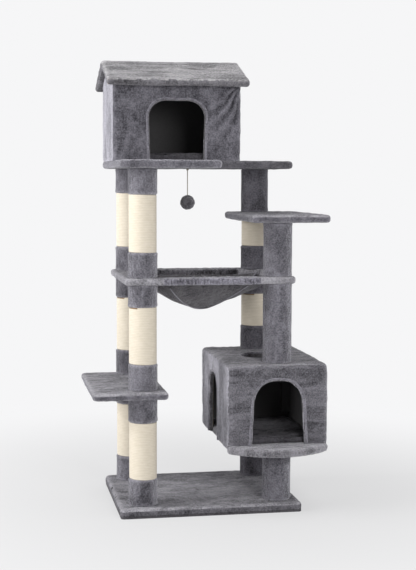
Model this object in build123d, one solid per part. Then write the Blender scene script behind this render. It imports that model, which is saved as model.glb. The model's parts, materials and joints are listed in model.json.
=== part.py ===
from build123d import *
import math
import os

# A cat tree of plush-covered boards on four columns of cardboard tubes. Millimetres throughout.
# The origin is the centre of the base's underside: X runs along the front, Y to the back, Z up.

# Coverings and hardware
PLUSH = 3.0  # plush on boards and house walls
SLEEVE_R = 47.5  # outside of a post's plush sleeve
SISAL_R = 45.5  # outside of a post's sisal winding
TUBE_R = 41.0  # cardboard tube, outside
TUBE_BORE_R = 35.0  # cardboard tube, inside
PLUG_THICK = 18.0  # wooden disc glued into each tube end
THREAD_R = 4.0  # M8 studs and bolts
PLUG_HOLE_R = 4.1
BOARD_HOLE_R = 4.5
THREAD_DEPTH = 14.0  # how far a thread reaches into a plug
HEAD_R, HEAD_TALL = 6.5, 5.3
WASHER_R, WASHER_THICK = 12.0, 1.6
SINK_R, SINK_DEEP = 13.0, 8.0  # counterbore for a bolt head
TEE_FLANGE_R, TEE_FLANGE = 11.0, 1.5
TEE_BARREL_R, TEE_BARREL = 5.5, 9.0
WALL = 12.0  # house and condo panels
LINING = 1.5

# Column centres
LEFT_X, RIGHT_X = -219.6, 229.0
FRONT_Y, BACK_Y = -176.6, 185.7

# Levels at which boards cross the columns
BASE_TOP = 29.5
CONDO_UNDER, CONDO_FLOOR_TOP, CONDO_TOP = 200.0, 224.0, 489.0
LEFT_SHELF = (387.0, 409.0)
FRAME = (755.0, 776.0)
RIGHT_SHELF = (956.0, 979.0)
TOP_BOARD = (1132.0, 1155.6)

# Each post: low end, high end, height of its lower sleeve, length of its sisal (0 for all plush)
LEFT_POSTS = [
    (BASE_TOP, LEFT_SHELF[0], 89.5, 185.0),
    (LEFT_SHELF[1], FRAME[0], 88.0, 184.0),
    (FRAME[1], TOP_BOARD[0], 84.0, 185.0),
]
COLUMNS = {
    "front_left": (LEFT_X, FRONT_Y, LEFT_POSTS),
    "back_left": (LEFT_X, BACK_Y, LEFT_POSTS),
    "back_right": (
        RIGHT_X,
        BACK_Y,
        [
            (BASE_TOP, CONDO_UNDER, 0.0, 0.0),
            (CONDO_TOP, FRAME[0], 86.0, 113.5),
            (FRAME[1], RIGHT_SHELF[0], 84.0, 96.0),
            (RIGHT_SHELF[1], TOP_BOARD[0], 0.0, 0.0),
        ],
    ),
    "front_right": (
        RIGHT_X,
        FRONT_Y,
        [
            (BASE_TOP, CONDO_UNDER, 0.0, 0.0),
            (CONDO_TOP, FRAME[0], 0.0, 0.0),
            (FRAME[1], RIGHT_SHELF[0], 0.0, 0.0),
        ],
    ),
}

# Base, shelves and hammock frame: X limits, Y limits
BASE_X, BASE_Y = (-300.0, 300.0), (-250.0, 250.0)
UNDERLAY = 1.5
BASE_FLANGE = 45.0  # width of the plush turned under the base
BASE_CORNER, BASE_EDGE = 12.0, 9.0
BOARD_CORNER, BOARD_EDGE = 16.0, 8.0
LEFT_SHELF_X, RIGHT_SHELF_X, SHELF_Y = (-388.0, -146.0), (127.5, 390.0), (-255.0, 225.0)
FRAME_X, FRAME_Y = (-281.0, 281.0), (-228.0, 238.0)
FRAME_CORNER = 28.0
# The frame's window has eight sides: its front and back edges, and its left and right ones
WINDOW_X, WINDOW_Y, WINDOW_CORNER = (-165.0, 170.0), (-168.0, 178.0), 6.0
WINDOW_WIDE_X, WINDOW_SIDE_Y = (-225.0, 240.0), (-119.0, 127.0)
HEM = 5.0
BOWL_INSET, BOWL_RAISE = 3.0, 4.0  # how far in and up the hammock's inside lies from its outside
# Rings of the hammock's outside, from its rim down: X limits, Y limits, height
BOWL = [
    ((-138.0, 147.0), (-161.0, 171.0), 757.0),
    ((-113.0, 108.0), (-110.0, 116.0), 712.0),
    ((-65.0, 61.0), (-64.0, 70.0), 680.0),
    ((-12.0, 36.0), (-26.0, 22.0), 655.0),
]
BOWL_SIDE_TOP = 724.0  # its left and right edges hang free, below its front and back ones

# Top board: a wide front part on the left and a rear part that reaches the right column
TOP_X, TOP_FRONT_END, TOP_REAR_END = -304.0, 22.0, 310.0
TOP_Y, TOP_STEP, TOP_BACK = -288.0, -61.0, 277.0

# Lower condo
CONDO_X, CONDO_Y = (51.0, 387.0), (-244.0, 247.0)
CONDO_WALL_UNDER = 211.0
CONDO_CORNER, CONDO_EDGE = 18.0, 14.0
PORCH_REACH, PORCH_EDGE = 83.0, 6.0
CONDO_MAT_TOP = 248.0
CONDO_SEAM = 475.0
BATTEN = 30.0
HOLE_CENTRE, HOLE_R = (219.6, -2.0), 77.5
LEFT_ARCH_Y = 22.0
MAT_EDGE = 6.0
# Arches: half width at the foot, half width at the top, top height, corner radius
CONDO_FRONT_ARCH = (92.5, 80.0, 439.0, 72.0)
CONDO_LEFT_ARCH = (81.0, 76.0, 433.0, 66.0)

# Top house
HOUSE_X, HOUSE_Y = (-304.0, 127.0), (-58.0, 255.0)
HOUSE_CORNER = 12.0
HOUSE_MAT_TOP = 1180.0
HOUSE_BATTEN = 20.0
HOUSE_ARCH_X, HOUSE_ARCH = -88.0, (92.0, 98.0, 1357.0, 58.0)
ROOF_X, ROOF_FRONT, ROOF_RIDGE_Y = (-325.0, 149.0), -105.0, 99.0
ROOF_EAVE, ROOF_RIDGE, ROOF_THICK, ROOF_EDGE = 1420.0, 1495.0, 22.0, 7.0
PIPING = 9.0

# Hanging ball
TOY_X, TOY_Y = -71.0, -166.0
EYELET_R, EYELET_THICK = 7.0, 1.0
KNOT_R, KNOT_GAP = 4.0, 0.3
CORD_R = 1.5
BALL_R, BALL_Z = 24.5, 1020.0
CORD_SOCKET = 12.0
CUT = 40.0  # how far a cutter reaches past a wall, each way

os.makedirs("parts", exist_ok=True)


def write(name, *solids):
    """Write one node, made of one solid or of several separate ones."""
    flat = [piece for shape in solids for piece in shape.solids()]
    shape = flat[0] if len(flat) == 1 else Compound(children=flat)
    export_step(shape, f"parts/{name}.step")


def block(x, y, z):
    """A box between three pairs of limits."""
    middle = [(low + high) / 2 for low, high in (x, y, z)]
    return Pos(*middle) * Box(x[1] - x[0], y[1] - y[0], z[1] - z[0])


def inset(limits, amount):
    return (limits[0] + amount, limits[1] - amount)


def rod(x, y, z, radius):
    """An upright cylinder between two heights."""
    return Pos(x, y, (z[0] + z[1]) / 2) * Cylinder(radius, z[1] - z[0])


def pipe(x, y, z, radius, bore):
    return rod(x, y, z, radius) - rod(x, y, z, bore)


def hexagon(x, y, z, radius):
    """A hexagon bolt head between two heights, with its flats at the given radius."""
    return extrude(Plane((x, y, z[0])) * RegularPolygon(radius, 6, major_radius=False), amount=z[1] - z[0])


def rounded(solid, corner, edge=0.0):
    """Round a solid's upright edges, and then the edges of its top and bottom faces."""
    solid = fillet(solid.edges().filter_by(Axis.Z), corner)
    if edge:
        flats = solid.faces().filter_by(Axis.Z)
        solid = fillet(flats.edges(), edge)
    return solid


def plate(points, z, corner, edge=0.0):
    """A board cut to a polygon, with rounded corners and edges."""
    face = make_face(Polyline(*points, close=True))
    solid = extrude(Plane((0, 0, z[0])) * face, amount=z[1] - z[0])
    return rounded(solid, corner, edge)


def rectangle(x, y):
    return [(x[0], y[0]), (x[1], y[0]), (x[1], y[1]), (x[0], y[1])]


def drill(solid, places, z, radius=BOARD_HOLE_R):
    for x, y in places:
        solid = solid - rod(x, y, z, radius)
    return solid


def covered_board(outline, z, corner, edge, through=(), ends=()):
    """A core board and its plush cover. Studs pass at through, and tee nuts sit in the core at ends."""
    core_z = inset(z, PLUSH)
    core = plate(outline(PLUSH), core_z, max(corner - PLUSH, 1.0))
    cover = plate(outline(0.0), z, corner, edge) - core
    deep = (z[0] - 1.0, z[1] + 1.0)
    core = drill(core, [*through, *ends], deep)
    for x, y in ends:
        core = core - rod(x, y, (core_z[1] - TEE_FLANGE, core_z[1]), TEE_FLANGE_R + 0.1)
        core = core - rod(x, y, (core_z[1] - TEE_FLANGE - TEE_BARREL, core_z[1]), TEE_BARREL_R + 0.1)
    cover = drill(cover, through, deep)
    cover = drill(cover, ends, (z[0] - 1.0, core_z[0] + 0.5))
    return core, cover


def arch(shape, foot):
    """An arch's outline: X across, Y up, with its two upper corners rounded."""
    half_low, half_high, top, radius = shape
    outline = make_face(
        Polyline((-half_low, foot), (half_low, foot), (half_high, top), (-half_high, top), close=True)
    )
    return fillet(outline.vertices().sort_by(Axis.Y)[-2:], radius)


def facing_front(sketch, x, y, depth):
    """A sketch stood up at a front wall and pushed both ways through it."""
    plane = Plane(origin=(x, y, 0), x_dir=(1, 0, 0), z_dir=(0, -1, 0))
    return extrude(plane * sketch, amount=depth, both=True)


def facing_left(sketch, x, y, depth):
    plane = Plane(origin=(x, y, 0), x_dir=(0, -1, 0), z_dir=(-1, 0, 0))
    return extrude(plane * sketch, amount=depth, both=True)


def piping(sketch):
    """The flat ring that lies round an arch, open at its foot."""
    return offset(sketch, PIPING) - sketch


# ---------------------------------------------------------------- columns


def post_parts(x, y, low, high, lower_sleeve, sisal):
    """One post: its tube, sleeves, windings and end plugs."""
    tube = pipe(x, y, (low, high), TUBE_R, TUBE_BORE_R)
    plugs = [
        pipe(x, y, (low, low + PLUG_THICK), TUBE_BORE_R, PLUG_HOLE_R),
        pipe(x, y, (high - PLUG_THICK, high), TUBE_BORE_R, PLUG_HOLE_R),
    ]
    if not sisal:
        return tube, [pipe(x, y, (low, high), SLEEVE_R, TUBE_R)], [], plugs
    band = (low + lower_sleeve, low + lower_sleeve + sisal)
    sleeves = [pipe(x, y, (low, band[0]), SLEEVE_R, TUBE_R)]
    if band[1] < high:
        sleeves.append(pipe(x, y, (band[1], high), SLEEVE_R, TUBE_R))
    return tube, sleeves, [pipe(x, y, band, SISAL_R, TUBE_R)], plugs


def build_columns():
    all_plugs = []
    for name, (x, y, posts) in COLUMNS.items():
        tubes, sleeves, windings = [], [], []
        for low, high, lower_sleeve, sisal in posts:
            tube, post_sleeves, post_windings, plugs = post_parts(x, y, low, high, lower_sleeve, sisal)
            tubes.append(tube)
            sleeves += post_sleeves
            windings += post_windings
            all_plugs += plugs
        write(f"tubes_{name}", *tubes)
        write(f"plush_sleeves_{name}", *sleeves)
        if windings:
            write(f"sisal_{name}", *windings)
    write("tube_end_plugs", *all_plugs)


def build_column_hardware():
    """Studs through the boards, and tee nuts where a column ends under a board."""
    studs, nuts = [], []
    through = [(LEFT_X, FRONT_Y, LEFT_SHELF), (LEFT_X, BACK_Y, LEFT_SHELF), (RIGHT_X, BACK_Y, RIGHT_SHELF)]
    through += [(x, y, FRAME) for x in (LEFT_X, RIGHT_X) for y in (FRONT_Y, BACK_Y)]
    for x, y, z in through:
        studs.append(rod(x, y, (z[0] - THREAD_DEPTH, z[1] + THREAD_DEPTH), THREAD_R))
    ends = [(RIGHT_X, FRONT_Y, RIGHT_SHELF)]
    ends += [(x, y, TOP_BOARD) for x, y in ((LEFT_X, FRONT_Y), (LEFT_X, BACK_Y), (RIGHT_X, BACK_Y))]
    for x, y, z in ends:
        top = z[1] - PLUSH
        studs.append(rod(x, y, (z[0] - THREAD_DEPTH, top - 0.2), THREAD_R))
        nut = rod(x, y, (top - TEE_FLANGE, top), TEE_FLANGE_R)
        nut = nut + rod(x, y, (top - TEE_FLANGE - TEE_BARREL, top), TEE_BARREL_R)
        nuts.append(nut - rod(x, y, (z[0], z[1]), PLUG_HOLE_R))
    write("joint_studs", *studs)
    write("tee_nuts", *nuts)


# ---------------------------------------------------------------- base


def bolt(x, y, seat, tip, up):
    """A hexagon bolt and its washer. seat is where the washer bears, and up is +1 or -1."""
    under = seat - up * WASHER_THICK
    crown = under - up * HEAD_TALL
    head = hexagon(x, y, sorted((crown, under)), HEAD_R)
    shank = rod(x, y, sorted((under, tip)), THREAD_R)
    washer = pipe(x, y, sorted((seat, under)), WASHER_R, PLUG_HOLE_R)
    return head + shank, washer


def build_base():
    places = [(x, y) for x in (LEFT_X, RIGHT_X) for y in (FRONT_Y, BACK_Y)]
    core_top = BASE_TOP - PLUSH
    core_x, core_y = inset(BASE_X, PLUSH), inset(BASE_Y, PLUSH)
    core = rounded(block(core_x, core_y, (UNDERLAY, core_top)), BASE_CORNER - PLUSH)
    cover = rounded(block(BASE_X, BASE_Y, (-BASE_TOP, BASE_TOP)), BASE_CORNER, BASE_EDGE)
    cover = cover & block(BASE_X, BASE_Y, (0.0, BASE_TOP))
    sheet_x, sheet_y = inset(BASE_X, BASE_FLANGE), inset(BASE_Y, BASE_FLANGE)
    cover = cover - core - block(sheet_x, sheet_y, (-1.0, UNDERLAY))
    sheet = block(sheet_x, sheet_y, (0.0, UNDERLAY))
    sheet = drill(sheet, places, (-1.0, UNDERLAY + 1.0), SINK_R)
    cover = drill(cover, places, (core_top - 1.0, BASE_TOP + 1.0))
    core = drill(core, places, (0.0, BASE_TOP))
    core = drill(core, places, (0.0, UNDERLAY + SINK_DEEP), SINK_R)
    bolts, washers = zip(*[bolt(x, y, UNDERLAY + SINK_DEEP, BASE_TOP + THREAD_DEPTH, 1) for x, y in places])
    write("base_board", core)
    write("base_plush", cover)
    write("base_underlay", sheet)
    write("base_bolts", *bolts)
    write("base_washers", *washers)


# ---------------------------------------------------------------- shelves, hammock and top board


def left_shelf_outline(amount):
    return rectangle(inset(LEFT_SHELF_X, amount), inset(SHELF_Y, amount))


def right_shelf_outline(amount):
    return rectangle(inset(RIGHT_SHELF_X, amount), inset(SHELF_Y, amount))


def build_shelves():
    places = [(LEFT_X, FRONT_Y), (LEFT_X, BACK_Y)]
    core, cover = covered_board(left_shelf_outline, LEFT_SHELF, BOARD_CORNER, BOARD_EDGE, places)
    write("left_shelf_board", core)
    write("left_shelf_plush", cover)
    places, ends = [(RIGHT_X, BACK_Y)], [(RIGHT_X, FRONT_Y)]
    core, cover = covered_board(right_shelf_outline, RIGHT_SHELF, BOARD_CORNER, BOARD_EDGE, places, ends)
    write("right_shelf_board", core)
    write("right_shelf_plush", cover)


def top_outline(amount):
    x0, x1, x2 = TOP_X + amount, TOP_FRONT_END - amount, TOP_REAR_END - amount
    y0, y1, y2 = TOP_Y + amount, TOP_STEP + amount, TOP_BACK - amount
    return [(x0, y0), (x1, y0), (x1, y1), (x2, y1), (x2, y2), (x0, y2)]


def build_top_board():
    ends = [(LEFT_X, FRONT_Y), (LEFT_X, BACK_Y), (RIGHT_X, BACK_Y)]
    core, cover = covered_board(top_outline, TOP_BOARD, BOARD_CORNER, BOARD_EDGE, ends=ends)
    write("top_board", core)
    write("top_board_plush", cover)


def frame_outline(amount):
    return rectangle(inset(FRAME_X, amount), inset(FRAME_Y, amount))


def window_cutter(grown):
    """The frame's eight-sided window as a solid, grown outwards by an amount."""
    (x0, x1), (y0, y1) = WINDOW_X, WINDOW_Y
    (x2, x3), (y2, y3) = WINDOW_WIDE_X, WINDOW_SIDE_Y
    corners = [(x0, y0), (x1, y0), (x3, y2), (x3, y3), (x1, y1), (x0, y1), (x2, y3), (x2, y2)]
    face = make_face(Polyline(*corners, close=True))
    if grown:
        face = offset(face, grown, kind=Kind.INTERSECTION)
    solid = extrude(Plane((0, 0, FRAME[0] - 1.0)) * face, amount=FRAME[1] - FRAME[0] + 2.0)
    return rounded(solid, WINDOW_CORNER + grown)


def build_frame():
    places = [(x, y) for x in (LEFT_X, RIGHT_X) for y in (FRONT_Y, BACK_Y)]
    core, cover = covered_board(frame_outline, FRAME, FRAME_CORNER, BOARD_EDGE, places)
    window, wide = window_cutter(0.0), window_cutter(PLUSH)
    core = core - wide
    edge = (wide - window) & block(FRAME_X, FRAME_Y, FRAME)
    write("hammock_frame_board", core)
    write("hammock_frame_plush", (cover - wide) + edge)
    rails = [(FRAME_Y[0], WINDOW_Y[0]), (WINDOW_Y[1], FRAME_Y[1])]
    hem_x = inset(WINDOW_X, WINDOW_CORNER + 2.0)
    hems = []
    for rail in rails:
        hem = block(hem_x, inset(rail, -HEM), inset(FRAME, -HEM))
        hem = fillet(hem.edges().filter_by(Axis.X), HEM)
        hems.append(hem - block(FRAME_X, rail, FRAME))
    write("hammock_hem", *hems)


def hexahedron(low, high):
    """The solid between two four-sided faces, given as matching lists of corners."""
    sides = [low[::-1], high]
    sides += [[low[i], low[(i + 1) % 4], high[(i + 1) % 4], high[i]] for i in range(4)]
    return Solid(Shell([Face(Wire.make_polygon([Vector(*p) for p in side], close=True)) for side in sides]))


def build_bowl():
    """The hammock's fabric as flat gores: three rings of four, and a bottom. Its sides stop short."""

    def ring(level):
        x, y, z = level
        outside = [(px, py, z) for px, py in rectangle(x, y)]
        inner = rectangle(inset(x, BOWL_INSET), inset(y, BOWL_INSET))
        return outside, [(px, py, z + BOWL_RAISE) for px, py in inner]

    def between(upper, lower, z):
        """The ring that lies at a height between two others."""
        share = (upper[2] - z) / (upper[2] - lower[2])
        x, y = [
            tuple(high + (low - high) * share for high, low in zip(upper[k], lower[k])) for k in range(2)
        ]
        return x, y, z

    gores = []
    for upper, lower in zip(BOWL, BOWL[1:]):
        (low_out, low_in), side_top = ring(lower), between(upper, lower, BOWL_SIDE_TOP)
        for i in range(4):
            j = (i + 1) % 4
            free = upper is BOWL[0] and i in (1, 3)
            high_out, high_in = ring(side_top if free else upper)
            gores.append(
                hexahedron(
                    [low_out[i], low_out[j], low_in[j], low_in[i]],
                    [high_out[i], high_out[j], high_in[j], high_in[i]],
                )
            )
    gores.append(hexahedron(*ring(BOWL[-1])))
    write("hammock_bowl", *gores)


# ---------------------------------------------------------------- condo


def condo_floor(amount):
    """The condo's floor: a tray between the walls, and a porch bowed out in front of them."""
    between = (CONDO_X[0] + PLUSH + WALL + amount, CONDO_X[1] - PLUSH - WALL - amount)
    wide = inset(CONDO_X, amount)
    front, step = CONDO_Y[0], CONDO_Y[0] + PLUSH + WALL - amount
    back = CONDO_Y[1] - PLUSH - WALL - amount
    tray = make_face(Polyline(*rectangle(between, (step - 5.0, back)), close=True))
    lip = make_face(Polyline(*rectangle(wide, (front, step)), close=True))
    middle = (wide[0] + wide[1]) / 2
    bow = ThreePointArc((wide[0], front), (middle, front - PORCH_REACH + amount), (wide[1], front))
    porch = make_face([bow, Line((wide[1], front), (wide[0], front))])
    return tray + lip + porch


def build_condo_floor():
    z = (CONDO_UNDER, CONDO_FLOOR_TOP)
    core_z = inset(z, PLUSH)
    places = [(RIGHT_X, FRONT_Y), (RIGHT_X, BACK_Y)]
    core = extrude(Plane((0, 0, core_z[0])) * condo_floor(PLUSH), amount=core_z[1] - core_z[0])
    cover = extrude(Plane((0, 0, z[0])) * condo_floor(0.0), amount=z[1] - z[0])
    bowed = [e for e in cover.edges() if e.geom_type == GeomType.CIRCLE]
    cover = fillet(bowed, PORCH_EDGE) - core
    core = drill(core, places, z)
    core = drill(core, places, (core_z[1] - SINK_DEEP, z[1]), SINK_R)
    cover = drill(cover, places, (z[0] - 1.0, z[1] + 1.0))
    cover = drill(cover, places, (core_z[1] - 1.0, z[1] + 1.0), SINK_R)
    write("condo_floor_board", core)
    write("condo_floor_plush", cover)


def condo_arches():
    """Cutters for the front and left arches, and the sketches that their pipings follow."""
    return arch(CONDO_FRONT_ARCH, CONDO_FLOOR_TOP - 0.5), arch(CONDO_LEFT_ARCH, CONDO_WALL_UNDER - 0.5)


def build_condo_walls():
    front_sketch, left_sketch = condo_arches()
    middle_x = HOLE_CENTRE[0]
    front_cut = facing_front(front_sketch, middle_x, CONDO_Y[0], CUT)
    left_cut = facing_left(left_sketch, CONDO_X[0], LEFT_ARCH_Y, CUT)
    panel_top = CONDO_TOP - PLUSH - WALL
    places = [(RIGHT_X, FRONT_Y), (RIGHT_X, BACK_Y)]
    body_x, body_y = inset(CONDO_X, PLUSH), inset(CONDO_Y, PLUSH)
    low = CONDO_WALL_UNDER - CUT

    outer = fillet(block(CONDO_X, CONDO_Y, (low, CONDO_TOP)).edges().filter_by(Axis.Z), CONDO_CORNER)
    outer = fillet(outer.faces().sort_by(Axis.Z)[-1].edges(), CONDO_EDGE)
    body = fillet(block(body_x, body_y, (low, CONDO_TOP - PLUSH)).edges().filter_by(Axis.Z), CONDO_CORNER - PLUSH)
    body = fillet(body.faces().sort_by(Axis.Z)[-1].edges(), CONDO_EDGE - PLUSH)

    walls_z = (CONDO_WALL_UNDER, panel_top)
    front_y = (body_y[0], body_y[0] + WALL)
    back_y = (body_y[1] - WALL, body_y[1])
    side_y = (front_y[1], back_y[0])
    left_x = (body_x[0], body_x[0] + WALL)
    right_x = (body_x[1] - WALL, body_x[1])
    hole = rod(*HOLE_CENTRE, (panel_top - 10.0, CONDO_TOP + 10.0), HOLE_R)
    top = (block(body_x, body_y, (panel_top, CONDO_TOP - PLUSH)) & body) - hole
    write("condo_front_panel", (block(body_x, front_y, (CONDO_FLOOR_TOP, panel_top)) & body) - front_cut)
    write("condo_back_panel", block(body_x, back_y, walls_z) & body)
    write("condo_left_panel", (block(left_x, side_y, walls_z) & body) - left_cut)
    write("condo_right_panel", block(right_x, side_y, walls_z) & body)
    write("condo_top_panel", drill(top, places, (panel_top - 1.0, CONDO_TOP)))

    skin = (outer & block(CONDO_X, CONDO_Y, (CONDO_WALL_UNDER, CONDO_TOP))) - body
    skin = skin - front_cut - left_cut - hole
    skin = skin - block(CONDO_X, (CONDO_Y[0] - 1.0, front_y[1]), (low, CONDO_FLOOR_TOP))
    skin = drill(skin, places, (panel_top, CONDO_TOP + 1.0))
    write("condo_walls_plush", skin & block(CONDO_X, CONDO_Y, (low, CONDO_SEAM)))
    write("condo_top_plush", skin & block(CONDO_X, CONDO_Y, (CONDO_SEAM, CONDO_TOP)))

    room_x, room_y = (left_x[1], right_x[0]), side_y
    mat_x, mat_y = inset(room_x, LINING), inset(room_y, LINING)
    room = block(room_x, room_y, (CONDO_FLOOR_TOP, panel_top))
    lining = room - block(mat_x, mat_y, (CONDO_FLOOR_TOP - 1.0, panel_top - LINING))
    lining = lining - front_cut - left_cut - hole
    lining = drill(lining, places, (panel_top - 5.0, panel_top + 1.0))
    write("condo_lining", lining)
    mat = block(mat_x, mat_y, (CONDO_FLOOR_TOP, CONDO_MAT_TOP))
    write("condo_inner_mat", fillet(mat.faces().sort_by(Axis.Z)[-1].edges(), MAT_EDGE))

    batten_z = (CONDO_MAT_TOP + 2.0, panel_top - LINING)
    battens = []
    for x in ((mat_x[0], mat_x[0] + BATTEN), (mat_x[1] - BATTEN, mat_x[1])):
        for y in ((mat_y[0], mat_y[0] + BATTEN), (mat_y[1] - BATTEN, mat_y[1])):
            battens.append(block(x, y, batten_z))
    write("condo_battens", *battens)

    front_ring = facing_front(piping(front_sketch), middle_x, CONDO_Y[0] - PIPING / 4, PIPING / 4)
    left_ring = facing_left(piping(left_sketch), CONDO_X[0] - PIPING / 4, LEFT_ARCH_Y, PIPING / 4)
    front_ring = front_ring & block(CONDO_X, (CONDO_Y[0] - PIPING, CONDO_Y[0]), (CONDO_FLOOR_TOP, CONDO_TOP))
    beside = (CONDO_X[0] - PIPING, CONDO_X[0])
    left_ring = left_ring & block(beside, CONDO_Y, (CONDO_WALL_UNDER, CONDO_TOP))
    write("condo_arch_pipings", front_ring, left_ring)


def build_condo_bolts():
    """Two bolts down through the condo's floor and two up through its top."""
    bolts, washers = [], []
    floor_seat = CONDO_FLOOR_TOP - PLUSH - SINK_DEEP
    top_seat = CONDO_TOP - PLUSH - WALL - LINING
    for y in (FRONT_Y, BACK_Y):
        down = bolt(RIGHT_X, y, floor_seat, CONDO_UNDER - THREAD_DEPTH, -1)
        up = bolt(RIGHT_X, y, top_seat, CONDO_TOP + THREAD_DEPTH, 1)
        bolts += [down[0], up[0]]
        washers += [down[1], up[1]]
    write("condo_bolts", *bolts)
    write("condo_washers", *washers)


# ---------------------------------------------------------------- house and roof

SLOPE = math.atan2(ROOF_RIDGE - ROOF_EAVE, ROOF_RIDGE_Y - ROOF_FRONT)


def roof_surface(y, depth):
    """Height of the plane that lies depth below the roof's top surface, measured square to it."""
    away = abs(y - ROOF_RIDGE_Y)
    return ROOF_RIDGE - away * math.tan(SLOPE) - depth / math.cos(SLOPE)


def side_prism(points, x):
    """A polygon drawn in Y and Z, pushed along X."""
    plane = Plane(origin=(x[0], 0, 0), x_dir=(0, 1, 0), z_dir=(1, 0, 0))
    return extrude(plane * make_face(Polyline(*points, close=True)), amount=x[1] - x[0])


def under_roof(depth, y, x):
    """Everything below a plane in the roof, between two Y limits."""
    points = [(y[0], TOP_BOARD[1]), (y[1], TOP_BOARD[1]), (y[1], roof_surface(y[1], depth))]
    points += [(ROOF_RIDGE_Y, roof_surface(ROOF_RIDGE_Y, depth)), (y[0], roof_surface(y[0], depth))]
    return side_prism(points, x)


def roof_half(side, near, far, end):
    """One slope's outline. side is -1 at the front and +1 at the back, near and far are depths."""
    run, fall = math.cos(SLOPE), math.sin(SLOPE)
    length = (ROOF_RIDGE_Y - ROOF_FRONT) / run - end

    def point(along, depth):
        across = along * run - depth * fall
        return (ROOF_RIDGE_Y + side * across, ROOF_RIDGE - along * fall - depth * run)

    return [
        (ROOF_RIDGE_Y, roof_surface(ROOF_RIDGE_Y, near)),
        point(length, near),
        point(length, far),
        (ROOF_RIDGE_Y, roof_surface(ROOF_RIDGE_Y, far)),
    ]


def build_house():
    wall_y, wall_x = inset(HOUSE_Y, PLUSH), inset(HOUSE_X, PLUSH)
    z = (TOP_BOARD[1], ROOF_RIDGE)
    below = under_roof(ROOF_THICK, (HOUSE_Y[0] - 1.0, HOUSE_Y[1] + 1.0), (HOUSE_X[0] - 1.0, HOUSE_X[1] + 1.0))
    sketch = arch(HOUSE_ARCH, TOP_BOARD[1] - 0.5)
    cut = facing_front(sketch, HOUSE_ARCH_X, HOUSE_Y[0], CUT)
    outer = rounded(block(HOUSE_X, HOUSE_Y, z), HOUSE_CORNER) & below
    body = rounded(block(wall_x, wall_y, z), HOUSE_CORNER - PLUSH)
    bounded = body & below
    front_y = (wall_y[0], wall_y[0] + WALL)
    back_y = (wall_y[1] - WALL, wall_y[1])
    side_y = (front_y[1], back_y[0])
    left_x = (wall_x[0], wall_x[0] + WALL)
    right_x = (wall_x[1] - WALL, wall_x[1])
    write("house_front_panel", (bounded & block(wall_x, front_y, z)) - cut)
    write("house_back_panel", bounded & block(wall_x, back_y, z))
    write("house_left_gable", bounded & block(left_x, side_y, z))
    write("house_right_gable", bounded & block(right_x, side_y, z))
    write("house_walls_plush", outer - body - cut)

    room_x, room_y = (left_x[1], right_x[0]), side_y
    mat_x, mat_y = inset(room_x, LINING), inset(room_y, LINING)
    lining = (block(room_x, room_y, z) - block(mat_x, mat_y, z)) & below
    write("house_lining", lining - cut)
    mat = block(mat_x, mat_y, (TOP_BOARD[1], HOUSE_MAT_TOP))
    write("house_inner_mat", fillet(mat.faces().sort_by(Axis.Z)[-1].edges(), MAT_EDGE))
    battens = []
    for x in ((mat_x[0], mat_x[0] + HOUSE_BATTEN), (mat_x[1] - HOUSE_BATTEN, mat_x[1])):
        for y in ((mat_y[0], mat_y[0] + HOUSE_BATTEN), (mat_y[1] - HOUSE_BATTEN, mat_y[1])):
            battens.append(block(x, y, (HOUSE_MAT_TOP + 1.0, ROOF_RIDGE)) & below)
    write("house_battens", *battens)
    ring = facing_front(piping(sketch), HOUSE_ARCH_X, HOUSE_Y[0] - PIPING / 4, PIPING / 4)
    write("house_arch_piping", ring & block(HOUSE_X, (HOUSE_Y[0] - PIPING, HOUSE_Y[0]), z))

    board_x = inset(ROOF_X, PLUSH)
    boards = [side_prism(roof_half(side, PLUSH, ROOF_THICK - PLUSH, PLUSH), board_x) for side in (-1, 1)]
    cover = side_prism(roof_half(-1, 0.0, ROOF_THICK, 0.0), ROOF_X)
    cover = cover + side_prism(roof_half(1, 0.0, ROOF_THICK, 0.0), ROOF_X)
    cover = fillet(cover.edges().filter_by(Axis.X).sort_by(Axis.Z)[:4], ROOF_EDGE)
    bare = under_roof(ROOF_THICK / 2, mat_y, mat_x)
    write("roof_front_board", boards[0])
    write("roof_back_board", boards[1])
    write("roof_plush", cover - boards[0] - boards[1] - bare)


# ---------------------------------------------------------------- hanging ball


def build_toy():
    board = TOP_BOARD[0]
    knot_z = board - EYELET_THICK - KNOT_GAP - KNOT_R
    knot = Pos(TOY_X, TOY_Y, knot_z) * Sphere(KNOT_R)
    ball = Pos(TOY_X, TOY_Y, BALL_Z) * Sphere(BALL_R)
    socket = BALL_Z + BALL_R - CORD_SOCKET
    cord = rod(TOY_X, TOY_Y, (socket, knot_z - KNOT_R - 0.05), CORD_R)
    write("toy_eyelet", pipe(TOY_X, TOY_Y, (board - EYELET_THICK, board), EYELET_R, KNOT_R / 2))
    write("toy_knot", knot)
    write("toy_cord", cord)
    write("toy_ball", ball - rod(TOY_X, TOY_Y, (socket, BALL_Z + BALL_R + 5.0), CORD_R))


build_columns()
build_column_hardware()
build_base()
build_shelves()
build_top_board()
build_frame()
build_bowl()
build_condo_floor()
build_condo_walls()
build_condo_bolts()
build_house()
build_toy()
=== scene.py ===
import json
import math

import bmesh
import bpy
import numpy as np
from mathutils import Matrix, Vector, noise


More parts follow.
